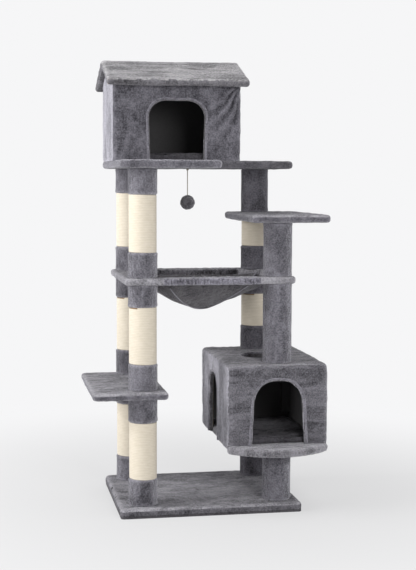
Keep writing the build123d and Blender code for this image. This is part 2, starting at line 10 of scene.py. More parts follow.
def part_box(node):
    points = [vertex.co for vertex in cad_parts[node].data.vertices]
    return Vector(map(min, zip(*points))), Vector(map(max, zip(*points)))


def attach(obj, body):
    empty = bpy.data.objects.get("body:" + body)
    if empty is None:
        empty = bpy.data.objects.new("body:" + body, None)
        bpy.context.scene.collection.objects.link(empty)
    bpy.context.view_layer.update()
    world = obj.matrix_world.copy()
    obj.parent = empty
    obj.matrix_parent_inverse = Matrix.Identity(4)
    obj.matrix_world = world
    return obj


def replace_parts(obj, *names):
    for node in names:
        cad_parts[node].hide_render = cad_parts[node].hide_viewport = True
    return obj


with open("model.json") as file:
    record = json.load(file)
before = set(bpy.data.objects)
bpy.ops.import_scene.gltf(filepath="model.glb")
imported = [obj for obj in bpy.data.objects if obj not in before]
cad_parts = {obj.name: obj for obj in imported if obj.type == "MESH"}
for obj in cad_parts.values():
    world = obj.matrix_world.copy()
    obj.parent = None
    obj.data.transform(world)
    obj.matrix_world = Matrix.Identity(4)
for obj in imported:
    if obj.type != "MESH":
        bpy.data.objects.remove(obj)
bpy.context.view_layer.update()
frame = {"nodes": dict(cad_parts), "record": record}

# ---- Studio. A white paper sweep under soft light: a large lamp on the left, weaker ones in front
# and overhead, and a pale room all round. The camera stands a little left of the tree.


def hexed(code):
    """A colour written as sRGB hex, as the linear colour that a node wants."""
    parts = [int(code[i : i + 2], 16) / 255 for i in (1, 3, 5)]
    linear = [c / 12.92 if c <= 0.04045 else ((c + 0.055) / 1.055) ** 2.4 for c in parts]
    return (*linear, 1.0)


def add(tree, kind, inputs=(), **settings):
    """Add one node, set its properties, and fill or link its inputs by name or number."""
    made = tree.nodes.new(kind)
    for key, value in settings.items():
        setattr(made, key, value)
    for key, value in dict(inputs).items():
        if isinstance(value, bpy.types.NodeSocket):
            tree.links.new(value, made.inputs[key])
        else:
            made.inputs[key].default_value = value
    return made


def new_material(name):
    """An empty material and its node tree."""
    material = bpy.data.materials.new(name)
    material.use_nodes = True
    material.node_tree.nodes.clear()
    return material, material.node_tree


def mesh_piece(name, points, faces, material=None, smooth=True):
    """A mesh object at the origin, with its place in its points."""
    mesh = bpy.data.meshes.new(name)
    mesh.from_pydata([tuple(p) for p in points], [], [tuple(f) for f in faces])
    mesh.validate()
    piece = bpy.data.objects.new(name, mesh)
    bpy.context.scene.collection.objects.link(piece)
    if smooth:
        mesh.shade_smooth()
    if material:
        mesh.materials.append(material)
    return piece


camera_data = bpy.data.cameras.new("camera")
camera_data.sensor_width = 36.0
camera_data.lens = 80.76
camera_data.clip_end = 60.0
camera = bpy.data.objects.new("camera", camera_data)
bpy.context.scene.collection.objects.link(camera)
camera_place = Vector((-0.7528, -4.2816, 1.1004))
camera_turn, camera_dip, camera_roll = math.radians(10.334), math.radians(4.799), math.radians(0.132)
ahead = Vector(
    (
        math.sin(camera_turn) * math.cos(camera_dip),
        math.cos(camera_turn) * math.cos(camera_dip),
        -math.sin(camera_dip),
    )
)
across = Vector((math.cos(camera_turn), -math.sin(camera_turn), 0.0))
upward = across.cross(ahead)
across, upward = (
    across * math.cos(camera_roll) + upward * math.sin(camera_roll),
    upward * math.cos(camera_roll) - across * math.sin(camera_roll),
)
camera_axes = Matrix((across, upward, -ahead)).transposed().to_4x4()
camera.matrix_world = Matrix.Translation(camera_place) @ camera_axes
bpy.context.scene.camera = camera
bpy.context.scene.view_settings.view_transform = "Standard"

# Matt white paper, lit round the tree so that it takes the tree's shadow, and evenly white farther off.
paper, tree = new_material("white_paper")
paper_white, shadow_reach, white_from, lit_least = "#f6f6f7", 0.5, 1.8, 0.62
spot = add(tree, "ShaderNodeTexCoord").outputs["Object"]
away = add(tree, "ShaderNodeVectorMath", {0: spot}, operation="LENGTH").outputs["Value"]
fade = add(
    tree,
    "ShaderNodeMapRange",
    {"Value": away, "From Min": shadow_reach, "From Max": white_from, "To Min": lit_least, "To Max": 1.0},
    interpolation_type="SMOOTHSTEP",
)
lit = add(tree, "ShaderNodeBsdfDiffuse", {"Color": hexed("#b8b8b8")})
glow = add(tree, "ShaderNodeEmission", {"Color": hexed(paper_white), "Strength": 1.0})
both = add(tree, "ShaderNodeMixShader", {0: fade.outputs["Result"], 1: lit.outputs[0], 2: glow.outputs[0]})
add(tree, "ShaderNodeOutputMaterial", {"Surface": both.outputs[0]})
reach = 30.0
floor = mesh_piece(
    "paper_floor",
    [(-reach, -reach, 0), (reach, -reach, 0), (reach, reach, 0), (-reach, reach, 0)],
    [(0, 1, 2, 3)],
    paper,
)

world = bpy.data.worlds.new("pale_room")
bpy.context.scene.world = world
world.use_nodes = True
tree = world.node_tree
tree.nodes.clear()
seen = add(tree, "ShaderNodeLightPath").outputs["Is Camera Ray"]
room = add(tree, "ShaderNodeBackground", {"Color": hexed("#f6f6f8"), "Strength": 0.5})
backdrop = add(tree, "ShaderNodeBackground", {"Color": hexed(paper_white), "Strength": 1.0})
both = add(tree, "ShaderNodeMixShader", {0: seen, 1: room.outputs[0], 2: backdrop.outputs[0]})
add(tree, "ShaderNodeOutputWorld", {"Surface": both.outputs[0]})


def softbox(name, place, aim, size, power):
    """A white lamp with a wide flat face, aimed at a point."""
    data = bpy.data.lights.new(name, "AREA")
    data.shape = "RECTANGLE"
    data.size, data.size_y = size
    data.energy = power
    lamp = bpy.data.objects.new(name, data)
    bpy.context.scene.collection.objects.link(lamp)
    lamp.location = place
    lamp.rotation_euler = (Vector(aim) - Vector(place)).to_track_quat("-Z", "Y").to_euler()


softbox("left_lamp", (-3.2, -0.3, 2.0), (0, 0, 0.8), (2.2, 2.4), 145.0)
softbox("front_lamp", (0.9, -4.2, 1.7), (0, 0, 1.1), (1.6, 1.4), 88.0)
softbox("top_lamp", (0.1, 0.0, 3.6), (0.1, 0.0, 0.0), (2.4, 2.0), 40.0)

# ---- Base. A thick particle board in short-pile plush, which is pulled over its edges, turned in and
# stapled underneath. The cover stands just off the floor, over its own turned-in edge.


def plush(name, deep, pale, brush=(1.0, 1.0, 1.0), sheen=0.85):
    """Polyester plush, knitted, napped and sheared. The eye gets a dull soft surface with darker marks
    where the pile is brushed over, and a pale rim from its sheen where it is seen along the surface. Its
    crests are painted paler and its hollows darker, as painted highlight and painted shade. deep and pale
    are the pile seen into and along, and brush stretches its marks."""
    material, tree = new_material(name)
    # A brushed mark is 66 mm long and a clump of leaning pile 14 mm. The tufts and tips of the 3 mm
    # pile are under 1 mm, too fine to show, so they are drawn at 4.8 and 1.6 mm.
    brush_mark, clump, tuft, pile_tip = 0.066, 0.014, 0.0048, 0.0016
    mark_share, clump_share, tuft_share, tip_share = 0.42, 0.14, 0.42, 0.26
    place = add(tree, "ShaderNodeTexCoord").outputs["Object"]
    drawn = add(tree, "ShaderNodeMapping", {"Vector": place, "Scale": brush}).outputs["Vector"]
    marks = add(
        tree,
        "ShaderNodeTexNoise",
        {"Vector": drawn, "Scale": 1 / brush_mark, "Detail": 4.0, "Distortion": 0.8},
    )
    clumps = add(tree, "ShaderNodeTexNoise", {"Vector": drawn, "Scale": 1 / clump, "Detail": 2.0})
    tufts = add(tree, "ShaderNodeTexNoise", {"Vector": place, "Scale": 1 / tuft, "Detail": 2.0})
    tips = add(tree, "ShaderNodeTexNoise", {"Vector": place, "Scale": 1 / pile_tip, "Detail": 1.0})
    # Crests are painted paler, where the pile also opens and shows its side, as a painted highlight;
    # hollows are painted darker as painted shade.
    bend = add(tree, "ShaderNodeNewGeometry").outputs["Pointiness"]
    crest_highlight_hollow_shade = add(
        tree,
        "ShaderNodeMapRange",
        {"Value": bend, "From Min": 0.45, "From Max": 0.56, "To Min": -0.4, "To Max": 0.3},
    )
    lean = crest_highlight_hollow_shade.outputs["Result"]
    noise_low, noise_high = 0.36, 0.64
    for texture, share in (
        (marks, mark_share),
        (clumps, clump_share),
        (tufts, tuft_share),
        (tips, tip_share),
    ):
        spread = add(
            tree,
            "ShaderNodeMapRange",
            {
                "Value": texture.outputs["Fac"],
                "From Min": noise_low,
                "From Max": noise_high,
                "To Min": -share / 2,
                "To Max": share / 2,
            },
        )
        lean = add(tree, "ShaderNodeMath", {0: lean, 1: spread.outputs["Result"]}).outputs[0]
    lean = add(tree, "ShaderNodeMath", {0: lean, 1: 0.5}, use_clamp=True)
    colour = add(
        tree,
        "ShaderNodeMix",
        {0: lean.outputs[0], 6: hexed(deep), 7: hexed(pale)},
        data_type="RGBA",
    )
    tuft_height, clump_height, pile_deep = 1.4, 2.2, 0.0032
    height = add(
        tree,
        "ShaderNodeMath",
        {0: tufts.outputs["Fac"], 1: tuft_height, 2: tips.outputs["Fac"]},
        operation="MULTIPLY_ADD",
    )
    height = add(
        tree,
        "ShaderNodeMath",
        {0: clumps.outputs["Fac"], 1: clump_height, 2: height.outputs[0]},
        operation="MULTIPLY_ADD",
    )
    bump = add(
        tree,
        "ShaderNodeBump",
        {"Strength": 0.9, "Distance": pile_deep, "Height": height.outputs[0]},
    )
    fabric = add(
        tree,
        "ShaderNodeBsdfPrincipled",
        {
            "Base Color": colour.outputs[2],
            "Roughness": 0.95,
            "Specular IOR Level": 0.15,
            "Sheen Weight": sheen,
            "Sheen Roughness": 0.3,
            "Sheen Tint": hexed("#e9e8ee"),
            "Normal": bump.outputs[0],
        },
    )
    add(tree, "ShaderNodeOutputMaterial", {"Surface": fabric.outputs[0]})
    return material


# On a board's top the pile lies flat in long streaks, and its contrast is strong; the tops are painted
# paler, with less sheen, as painted light. Down the base's sides the plush is painted darker as painted
# shade, and darkest where it turns under, as painted shade beneath the board.
board_plush = plush("grey_plush_on_boards", "#343337", "#acaab0", (1.0, 2.2, 1.0), sheen=0.4)
painted_shade_side_plush = plush("grey_plush_base_sides_painted_shade", "#333236", "#77757b", (1.0, 1.0, 1.0), sheen=0.3)
painted_shade_under_plush = plush("grey_plush_underside_painted_shade", "#232225", "#575559", sheen=0.1)


def arc_outline(corners, radii, steps=8):
    """A closed outline through corners, each rounded with its own radius by an arc."""
    points = []
    for i, corner in enumerate(corners):
        corner = Vector(corner)
        before = (Vector(corners[i - 1]) - corner).normalized()
        after = (Vector(corners[(i + 1) % len(corners)]) - corner).normalized()
        radius = radii[i] if hasattr(radii, "__len__") else radii
        if radius == 0:
            points.append(corner)
            continue
        half = before.angle(after) / 2
        centre = corner + (before + after).normalized() * (radius / math.sin(half))
        start = corner + before * (radius / math.tan(half)) - centre
        end = corner + after * (radius / math.tan(half)) - centre
        sweep = math.atan2(start.x * end.y - start.y * end.x, start.dot(end))
        for step in range(steps + 1):
            points.append(centre + Matrix.Rotation(sweep * step / steps, 2) @ start)
    return points


def face_outwards(piece):
    """Turn every face of a closed piece outwards."""
    shape = bmesh.new()
    shape.from_mesh(piece.data)
    bmesh.ops.recalc_face_normals(shape, faces=shape.faces)
    shape.to_mesh(piece.data)
    shape.free()


def prism(name, outline, low, high, axis="Z"):
    """An outline pushed along one axis into a closed solid. Seen along it, the outline's first
    number runs along X (along Y when the axis is X), and its second along Y or Z."""
    place = {
        "Z": lambda a, b, c: (a, b, c),
        "Y": lambda a, b, c: (a, c, b),
        "X": lambda a, b, c: (c, a, b),
    }[axis]
    points = [place(p[0], p[1], depth) for depth in (low, high) for p in outline]
    count = len(outline)
    faces = [tuple(range(count)), tuple(range(2 * count - 1, count - 1, -1))]
    faces += [(i, i + count, (i + 1) % count + count, (i + 1) % count) for i in range(count)]
    piece = mesh_piece(name, points, faces, smooth=False)
    face_outwards(piece)
    return piece


def evaluated(piece):
    """A new mesh of a piece with its modifiers applied."""
    return bpy.data.meshes.new_from_object(piece.evaluated_get(bpy.context.evaluated_depsgraph_get()))


def settle(piece):
    """Turn a piece with modifiers into a plain mesh."""
    made = evaluated(piece)
    piece.modifiers.clear()
    piece.data = made
    made.name = piece.name
    return piece


def round_edges(piece, width):
    """Round a piece's sharp edges with a bevel, which stays a modifier."""
    bevel = piece.modifiers.new("edge", "BEVEL")
    bevel.width, bevel.segments = width, 4
    bevel.limit_method, bevel.angle_limit = "ANGLE", math.radians(50)


def grid_of(mesh):
    """A mesh's points and normals as arrays."""
    points = np.empty(len(mesh.vertices) * 3)
    mesh.vertices.foreach_get("co", points)
    normals = np.empty(len(mesh.vertices) * 3)
    mesh.vertex_normals.foreach_get("vector", normals)
    return points.reshape(-1, 3), normals.reshape(-1, 3)


def move_points(piece, points):
    """Put a piece's points where an array says."""
    piece.data.vertices.foreach_set("co", points.ravel())
    piece.data.update()


def push(piece, distance):
    """Move a piece's points along their normals by distance(points, normals), in metres."""
    points, normals = grid_of(piece.data)
    move_points(piece, points + normals * distance(points, normals)[:, None])
    return piece


def upholster(piece, material, voxel=0.005, edge=0.0):
    """Wrap a solid in plush: round its edges, mesh it evenly, smooth it, and add its pile's loft."""
    loft = 0.0014
    if edge:
        round_edges(piece, edge)
    remesh = piece.modifiers.new("mesh", "REMESH")
    remesh.mode, remesh.voxel_size = "VOXEL", voxel
    smooth = piece.modifiers.new("soften", "SMOOTH")
    smooth.factor, smooth.iterations = 0.5, 3
    settle(piece)
    piece.data.materials.clear()
    piece.data.materials.append(material)
    piece.data.shade_smooth()
    return push(piece, lambda points, normals: np.full(len(points), loft))


def lay_pile(piece, choose, *materials):
    """Add more materials to a piece, and choose each face's by number, its first one being 0."""
    for material in materials:
        piece.data.materials.append(material)
    for face in piece.data.polygons:
        face.material_index = choose(face)


def ripple(points, size, stretch=(1.0, 1.0, 1.0), shift=0.0):
    """Soft noise, from about -1 to 1, with lumps about as long as size."""
    spots = points * np.array(stretch) / size + shift
    return np.array([noise.fractal(Vector(p), 1.0, 2.0, 2) for p in spots])


def rumple(piece, height=0.0012, size=0.06, stretch=(1.0, 1.0, 1.0), shift=0.0):
    """Small lumps and slack in a glued cover, with a tufty surface on top."""
    tuft_high, tuft_size = 0.0009, 0.013

    def distance(points, normals):
        slack = height * ripple(points, size, stretch, shift)
        return slack + tuft_high * ripple(points, tuft_size, shift=shift + 7)

    return push(piece, distance)


def plan(low, high, inset=0.0):
    """A box's outline from above."""
    return [
        (low.x + inset, low.y + inset),
        (high.x - inset, low.y + inset),
        (high.x - inset, high.y - inset),
        (low.x + inset, high.y - inset),
    ]


board_corner, board_edge = 0.014, 0.007
side_slope, under_slope, top_slope = 0.35, -0.25, 0.8
turned_edge, over_board = 0.002, 0.0004
base_low, base_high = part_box("base_plush")
base_outline = arc_outline(plan(base_low, base_high), board_corner)
base_cover = prism("base_cover", base_outline, turned_edge, base_high.z)
upholster(base_cover, board_plush, edge=board_edge)
rumple(base_cover, height=0.0014, size=0.09, stretch=(0.6, 1.6, 1.0))
points, normals = grid_of(base_cover.data)
points[:, 2] = np.maximum(points[:, 2], turned_edge)
level = normals[:, 2] > top_slope
points[level, 2] = np.maximum(points[level, 2], base_high.z + over_board)
move_points(base_cover, points)
# Tops keep the paler board plush, painted light; the sides take a darker copy and the underside the
# darkest, painted shade.
lay_pile(
    base_cover,
    lambda face: 2 if face.normal.z < under_slope else int(face.normal.z < side_slope),
    painted_shade_side_plush,
    painted_shade_under_plush,
)
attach(base_cover, "tree")

# ---- Shelves. Two plain boards in plush, one low on the left columns and one high on the right ones.
# Their sides take the walls' darker plush, painted shade against the painted-light tops, with a strong pale
# rim from its sheen.
wall_plush = plush("grey_plush_on_walls", "#38373c", "#838189", (1.0, 1.0, 0.6))


def cover_board(name, node, shift=0.0):
    """The plush cover of one rectangular board."""
    low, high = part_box(node)
    piece = prism(name, arc_outline(plan(low, high), board_corner), low.z, high.z)
    upholster(piece, board_plush, edge=board_edge)
    rumple(piece, shift=shift)
    # The sides get the darker walls' plush as painted shade; the tops keep the paler board plush as painted
    # light.
    lay_pile(piece, lambda face: int(face.normal.z < side_slope), wall_plush)
    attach(piece, "tree")
    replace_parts(piece, node)


cover_board("left_shelf_cover", "left_shelf_plush")
cover_board("right_shelf_cover", "right_shelf_plush", shift=3.0)

# ---- Top board. One L-shaped board in plush, wide in front of the house and narrow beside it, where its plush is painted darker, a painted shadow of the wide part.
painted_shade_rear_plush = plush("grey_plush_rear_painted_shade", "#2c2b2e", "#727076", (1.0, 2.2, 1.0), sheen=0.4)
top_low, top_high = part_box("top_board_plush")
step_x, step_y = 0.022, -0.061
outer_corner, inner_corner = 0.016, 0.008
top_outline = arc_outline(
    [
        (top_low.x, top_low.y),
        (step_x, top_low.y),
        (step_x, step_y),
        (top_high.x, step_y),
        (top_high.x, top_high.y),
        (top_low.x, top_high.y),
    ],
    [outer_corner, outer_corner, inner_corner, outer_corner, outer_corner, outer_corner],
)
top_cover = prism("top_board_cover", top_outline, top_low.z, top_high.z)
upholster(top_cover, wall_plush, edge=board_edge)
rumple(top_cover, shift=5.0)
# The narrow part beside the house gets the darker plush: a painted shadow.
lay_pile(top_cover, lambda face: int(face.center.x > step_x + 0.001), painted_shade_rear_plush)
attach(top_cover, "tree")
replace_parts(top_cover, "top_board_plush")

# ---- Post sleeves. Plush wrapped round each cardboard tube and butted into a seam at the back. Its cut ends are turned under, so each end swells into a soft hem and puckers a little. The back right column stands in the others' shade, and its plush is painted darker as that shade.
sleeve_plush = plush("grey_plush_on_posts", "#39383d", "#8a8890", (1.0, 1.0, 0.6))
shaded_plush = plush("grey_plush_back_post_painted_shade", "#343236", "#7b7981", (1.0, 1.0, 0.6), sheen=0.3)


def solids_of(node):
    """The lowest and highest corners of each separate solid in a node, from the bottom up."""
    mesh = bmesh.new()
    mesh.from_mesh(frame["nodes"][node].data)
    bmesh.ops.remove_doubles(mesh, verts=mesh.verts, dist=1e-6)
    left, boxes = set(mesh.verts), []
    while left:
        group, edge = set(), [left.pop()]
        while edge:
            vert = edge.pop()
            group.add(vert)
            for link in vert.link_edges:
                other = link.other_vert(vert)
                if other in left:
                    left.discard(other)
                    edge.append(other)
        spots = np.array([v.co for v in group])
        boxes.append((Vector(spots.min(0)), Vector(spots.max(0))))
    mesh.free()
    return sorted(boxes, key=lambda box: box[0].z)


def ring_faces(rows, around, closed=False):
    """The four-sided faces between rows of points, each row a ring of around points."""
    faces = []
    for row in range(rows if closed else rows - 1):
        start, after = row * around, ((row + 1) % rows) * around
        for turn in range(around):
            beside = (turn + 1) % around
            faces.append((start + turn, start + beside, after + beside, after + turn))
    return faces


def sleeve(name, low, high, seed, material):
    """One plush sleeve as a closed ring of cloth round its tube."""
    centre = (low + high) / 2
    radius, bore = (high.x - low.x) / 2, 0.0412
    around, row_tall = 72, 0.004
    rows = max(int((high.z - low.z) / row_tall), 6)
    lump_high, pucker_high, pucker_reach = 0.0009, 0.0016, 0.012
    tuck_deep, tuck_reach = 0.0042, 0.005
    hem_high, hem_middle, hem_half = 0.0008, 0.007, 0.004
    angles = [2 * math.pi * turn / around for turn in range(around)]
    points = []
    for row in range(rows + 1):
        height = low.z + (high.z - low.z) * row / rows
        from_end = min(height - low.z, high.z - height)
        tuck = math.sqrt(max(1.0 - (1.0 - min(from_end / tuck_reach, 1.0)) ** 2, 0.0))
        pucker = math.exp(-from_end / pucker_reach)
        hem = math.exp(-(((from_end - hem_middle) / hem_half) ** 2))
        for angle in angles:
            ring = Vector((math.cos(angle), math.sin(angle), 0.0))
            spot = Vector((ring.x * 2.2, ring.y * 2.2, height * 14)) + Vector((seed, 0, 0))
            lump = noise.fractal(spot, 1.0, 2.0, 2)
            fold = noise.noise(Vector((ring.x * 4.5, ring.y * 4.5, seed * 3.1)))
            out = radius - tuck_deep * (1 - tuck) + lump_high * lump + pucker_high * fold * pucker
            out += hem_high * hem
            points.append((centre.x + ring.x * out, centre.y + ring.y * out, height))
    for height in (high.z, low.z):
        for angle in angles:
            points.append((centre.x + bore * math.cos(angle), centre.y + bore * math.sin(angle), height))
    piece = mesh_piece(name, points, ring_faces(rows + 3, around, closed=True), material)
    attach(piece, "tree")
    return piece


for column in ("front_left", "back_left", "back_right", "front_right"):
    node = f"plush_sleeves_{column}"
    cloth = shaded_plush if column == "back_right" else sleeve_plush
    for number, (low, high) in enumerate(solids_of(node), 1):
        seed = number * 2.7 + len(column)
        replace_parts(sleeve(f"sleeve_{column}_{number}", low, high, seed, cloth), node)

# ---- Sisal bands. Three-strand sisal rope of about 5 mm, wound tightly in one layer and glued to the
# tube, so it flattens a little and shows as fine level ridges.
rope_thick, rope_pitch, rope_inset = 0.0046, 0.0054, 0.002
lay_length, strands = 0.012, 3
# Natural sisal is dull, straw-coloured and hairy. Between its turns, where the rope faces up or down, its
# colour is painted darker as painted shade. It changes tone over about 22 mm. Its fibres are 0.2 mm, too
# fine to show, so they are drawn at 1.1 mm.
tone_patch, fibre_wide = 0.0222, 0.00111
sisal, tree = new_material("natural_sisal_rope")
place = add(tree, "ShaderNodeTexCoord").outputs["Object"]
fibre_way = add(tree, "ShaderNodeMapping", {"Vector": place, "Scale": (1.0, 1.0, 3.0)}).outputs["Vector"]
patches = add(tree, "ShaderNodeTexNoise", {"Vector": fibre_way, "Scale": 1 / tone_patch, "Detail": 3.0})
fibres = add(tree, "ShaderNodeTexNoise", {"Vector": place, "Scale": 1 / fibre_wide, "Detail": 3.0})
along = add(tree, "ShaderNodeAttribute", attribute_name="along").outputs["Fac"]
round_rope = add(tree, "ShaderNodeAttribute", attribute_name="round").outputs["Fac"]
turned = add(
    tree,
    "ShaderNodeMath",
    {0: along, 1: 1 / lay_length, 2: round_rope},
    operation="MULTIPLY_ADD",
)
strand = add(
    tree,
    "ShaderNodeMath",
    {0: turned.outputs[0], 1: 2 * math.pi * strands},
    operation="MULTIPLY",
)
strand = add(tree, "ShaderNodeMath", {0: strand.outputs[0]}, operation="SINE")
mixed = add(
    tree,
    "ShaderNodeMath",
    {0: fibres.outputs["Fac"], 1: 0.8, 2: patches.outputs["Fac"]},
    operation="MULTIPLY_ADD",
)
tone = add(tree, "ShaderNodeMapRange", {"Value": mixed.outputs[0], "From Min": 0.5, "From Max": 1.3})
colour = add(
    tree,
    "ShaderNodeMix",
    {0: tone.outputs["Result"], 6: hexed("#c7beac"), 7: hexed("#d6cdbe")},
    data_type="RGBA",
)
# Where the rope faces up or down, between turns, its colour is painted darker: painted shade.
facing = add(tree, "ShaderNodeSeparateXYZ", {0: add(tree, "ShaderNodeNewGeometry").outputs["Normal"]})
tilt = add(tree, "ShaderNodeMath", {0: facing.outputs["Z"]}, operation="ABSOLUTE")
painted_groove_shade = add(
    tree,
    "ShaderNodeMapRange",
    {"Value": tilt.outputs[0], "From Min": 0.25, "From Max": 0.9, "To Max": 0.75},
)
colour = add(
    tree,
    "ShaderNodeMix",
    {0: painted_groove_shade.outputs["Result"], 6: colour.outputs[2], 7: hexed("#8d8068")},
    data_type="RGBA",
)
height = add(
    tree,
    "ShaderNodeMath",
    {0: strand.outputs[0], 1: 0.4, 2: fibres.outputs["Fac"]},
    operation="MULTIPLY_ADD",
)
bump = add(tree, "ShaderNodeBump", {"Strength": 0.25, "Distance": 0.0003, "Height": height.outputs[0]})
fibre = add(
    tree,
    "ShaderNodeBsdfPrincipled",
    {
        "Base Color": colour.outputs[2],
        "Roughness": 0.85,
        "Specular IOR Level": 0.25,
        "Sheen Weight": 0.15,
        "Normal": bump.outputs[0],
    },
)
add(tree, "ShaderNodeOutputMaterial", {"Surface": fibre.outputs[0]})


def node_tree(name, **sizes):
    """A Geometry Nodes tree with one geometry input, named sizes and materials, and one geometry output."""
    tree = bpy.data.node_groups.new(name, "GeometryNodeTree")
    tree.interface.new_socket("Geometry", in_out="INPUT", socket_type="NodeSocketGeometry")
    for size, value in sizes.items():
        kind = "NodeSocketMaterial" if isinstance(value, bpy.types.Material) else "NodeSocketFloat"
        socket = tree.interface.new_socket(size, in_out="INPUT", socket_type=kind)
        socket.default_value = value
    tree.interface.new_socket("Geometry", in_out="OUTPUT", socket_type="NodeSocketGeometry")
    return tree, tree.nodes.new("NodeGroupInput").outputs


def run_tree(piece, tree, **sizes):
    """Run a tree on a piece and keep the result as its plain mesh."""
    work = piece.modifiers.new("build", "NODES")
    work.node_group = tree
    for socket in tree.interface.items_tree:
        if socket.in_out == "INPUT" and socket.name in sizes:
            work[socket.identifier] = sizes[socket.name]
    return settle(piece)


def end_tree(tree, geometry, material):
    """Realize, give the material, and close the tree."""
    real = add(tree, "GeometryNodeRealizeInstances", {0: geometry})
    done = add(tree, "GeometryNodeSetMaterial", {"Geometry": real.outputs[0], "Material": material})
    add(tree, "NodeGroupOutput", {0: done.outputs[0]})


winding, given = node_tree(
    "rope_winding", turns=36.0, radius=0.043, height=0.18, rope=rope_thick / 2, pitch=rope_pitch
)
spiral = add(
    winding,
    "GeometryNodeCurveSpiral",
    {
        "Resolution": 56,
        "Rotations": given["turns"],
        "Start Radius": given["radius"],
        "End Radius": given["radius"],
        "Height": given["height"],
    },
)
parameter = add(winding, "GeometryNodeSplineParameter")
kept = add(
    winding,
    "GeometryNodeStoreNamedAttribute",
    {"Geometry": spiral.outputs[0], "Name": "along", "Value": parameter.outputs["Length"]},
    data_type="FLOAT",
    domain="POINT",
)
upright = add(winding, "GeometryNodeSetCurveNormal", {"Curve": kept.outputs[0]}, mode="Z_UP")
ring = add(winding, "GeometryNodeCurvePrimitiveCircle", {"Resolution": 8, "Radius": given["rope"]})
tall_ring = add(winding, "ShaderNodeMath", {0: given["pitch"], 1: given["rope"]}, operation="DIVIDE")
# Each turn is taller than the pitch, so that it beds into its neighbours.
bedding = 0.85
tall_ring = add(winding, "ShaderNodeMath", {0: tall_ring.outputs[0], 1: bedding}, operation="MULTIPLY")
ring_size = add(winding, "ShaderNodeCombineXYZ", {"X": 1.0, "Y": tall_ring.outputs[0], "Z": 1.0})
flattened = add(
    winding,
    "GeometryNodeTransform",
    {"Geometry": ring.outputs[0], "Scale": ring_size.outputs[0]},
)
ring_parameter = add(winding, "GeometryNodeSplineParameter")
ring_kept = add(
    winding,
    "GeometryNodeStoreNamedAttribute",
    {"Geometry": flattened.outputs[0], "Name": "round", "Value": ring_parameter.outputs["Factor"]},
    data_type="FLOAT",
    domain="POINT",
)
rope = add(
    winding,
    "GeometryNodeCurveToMesh",
    {"Curve": upright.outputs[0], "Profile Curve": ring_kept.outputs[0], "Fill Caps": True},
)
soft_rope = add(winding, "GeometryNodeSetShadeSmooth", {0: rope.outputs[0]})
end_tree(winding, soft_rope.outputs[0], sisal)

for column in ("front_left", "back_left", "back_right"):
    node = f"sisal_{column}"
    for number, (low, high) in enumerate(solids_of(node), 1):
        band = mesh_piece(f"sisal_band_{column}_{number}", [], [])
        tall = high.z - low.z - 2 * rope_inset
        outside = (high.x - low.x) / 2
        run_tree(band, winding, turns=tall / rope_pitch, radius=outside - rope_thick / 2, height=tall)
        foot = Vector(((low.x + high.x) / 2, (low.y + high.y) / 2, low.z + rope_inset))
        band.data.transform(Matrix.Translation(foot))
        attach(band, "tree")
        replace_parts(band, node)

# ---- Hammock frame. A board with a large eight-sided window, in plush like the shelves. Its sides run out
# round the columns.
frame_low, frame_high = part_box("hammock_frame_plush")
frame_corner, frame_edge, window_corner = 0.028, 0.0055, 0.008
window_x, window_y = (-0.165, 0.170), (-0.168, 0.178)
wide_x, side_y = (-0.225, 0.240), (-0.119, 0.127)
window_corners = [
    (window_x[0], window_y[0]),
    (window_x[1], window_y[0]),
    (wide_x[1], side_y[0]),
    (wide_x[1], side_y[1]),
    (window_x[1], window_y[1]),
    (window_x[0], window_y[1]),
    (wide_x[0], side_y[1]),
    (wide_x[0], side_y[0]),
]


def carve(piece, *cutters):
    """Cut solids out of a piece, and use them up."""
    for cutter in cutters:
        cut = piece.modifiers.new("cut", "BOOLEAN")
        cut.operation, cut.solver, cut.object = "DIFFERENCE", "EXACT", cutter
    bpy.context.view_layer.update()
    settle(piece)
    for cutter in cutters:
        bpy.data.objects.remove(cutter)


frame_outline = arc_outline(plan(frame_low, frame_high), frame_corner)
frame_cover = prism("hammock_frame_cover", frame_outline, frame_low.z, frame_high.z)
window_outline = arc_outline(window_corners, window_corner)
carve(frame_cover, prism("window", window_outline, frame_low.z - 0.01, frame_high.z + 0.01))
upholster(frame_cover, board_plush, edge=frame_edge)
rumple(frame_cover, height=0.0009, shift=9.0)


def wrapped_ends(points, normals):
    """The front edge thins past each column and ends in a bulge where the plush is folded round."""
    bulge, bulge_reach, thin, thin_at, thin_reach = 0.0028, 0.014, 0.0007, 0.04, 0.02
    front = np.exp(-(((points[:, 1] - frame_low.y) / 0.03) ** 2))
    from_end = frame_high.x - np.abs(points[:, 0])
    swell = bulge * np.exp(-((from_end / bulge_reach) ** 2))
    return front * (swell - thin * np.exp(-(((from_end - thin_at) / thin_reach) ** 2)))


push(frame_cover, wrapped_ends)
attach(frame_cover, "tree")
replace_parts(frame_cover, "hammock_frame_plush")

# ---- Hammock. Four gores of plush sewn to a point at the bottom, with a corded seam from each corner.
# It hangs from the window's edge by gathered hems that wrap the front and back rails. Its cloth is a darker
# plush with less sheen.
hammock_plush = plush("grey_plush_hammock", "#363437", "#737174", (1.0, 1.0, 0.7), sheen=0.4)
cloth_thick = 0.0028
bowl_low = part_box("hammock_bowl")[0]
rail_z, tie_z = 0.7545, 0.7660
foot = Vector((0.017, -0.004, bowl_low.z + 0.002))


def straight(start, end, count, start_fullness, end_fullness):
    """Points of the rim between two corners, each with how full the cloth hangs below it."""
    shares = [i / count for i in range(count)]
    return [(start.lerp(end, s), start_fullness + (end_fullness - start_fullness) * s) for s in shares]


def sagging(start, middle, end, count, fullness):
    """Points of a free edge that sags from two ties to its middle."""
    made = []
    for i in range(count):
        s = 2 * i / count - 1
        tie = start if s < 0 else end
        spot = middle.lerp(tie, s * s)
        spot.y = middle.y + (tie.y - middle.y) * abs(s)
        made.append((spot, fullness))
    return made


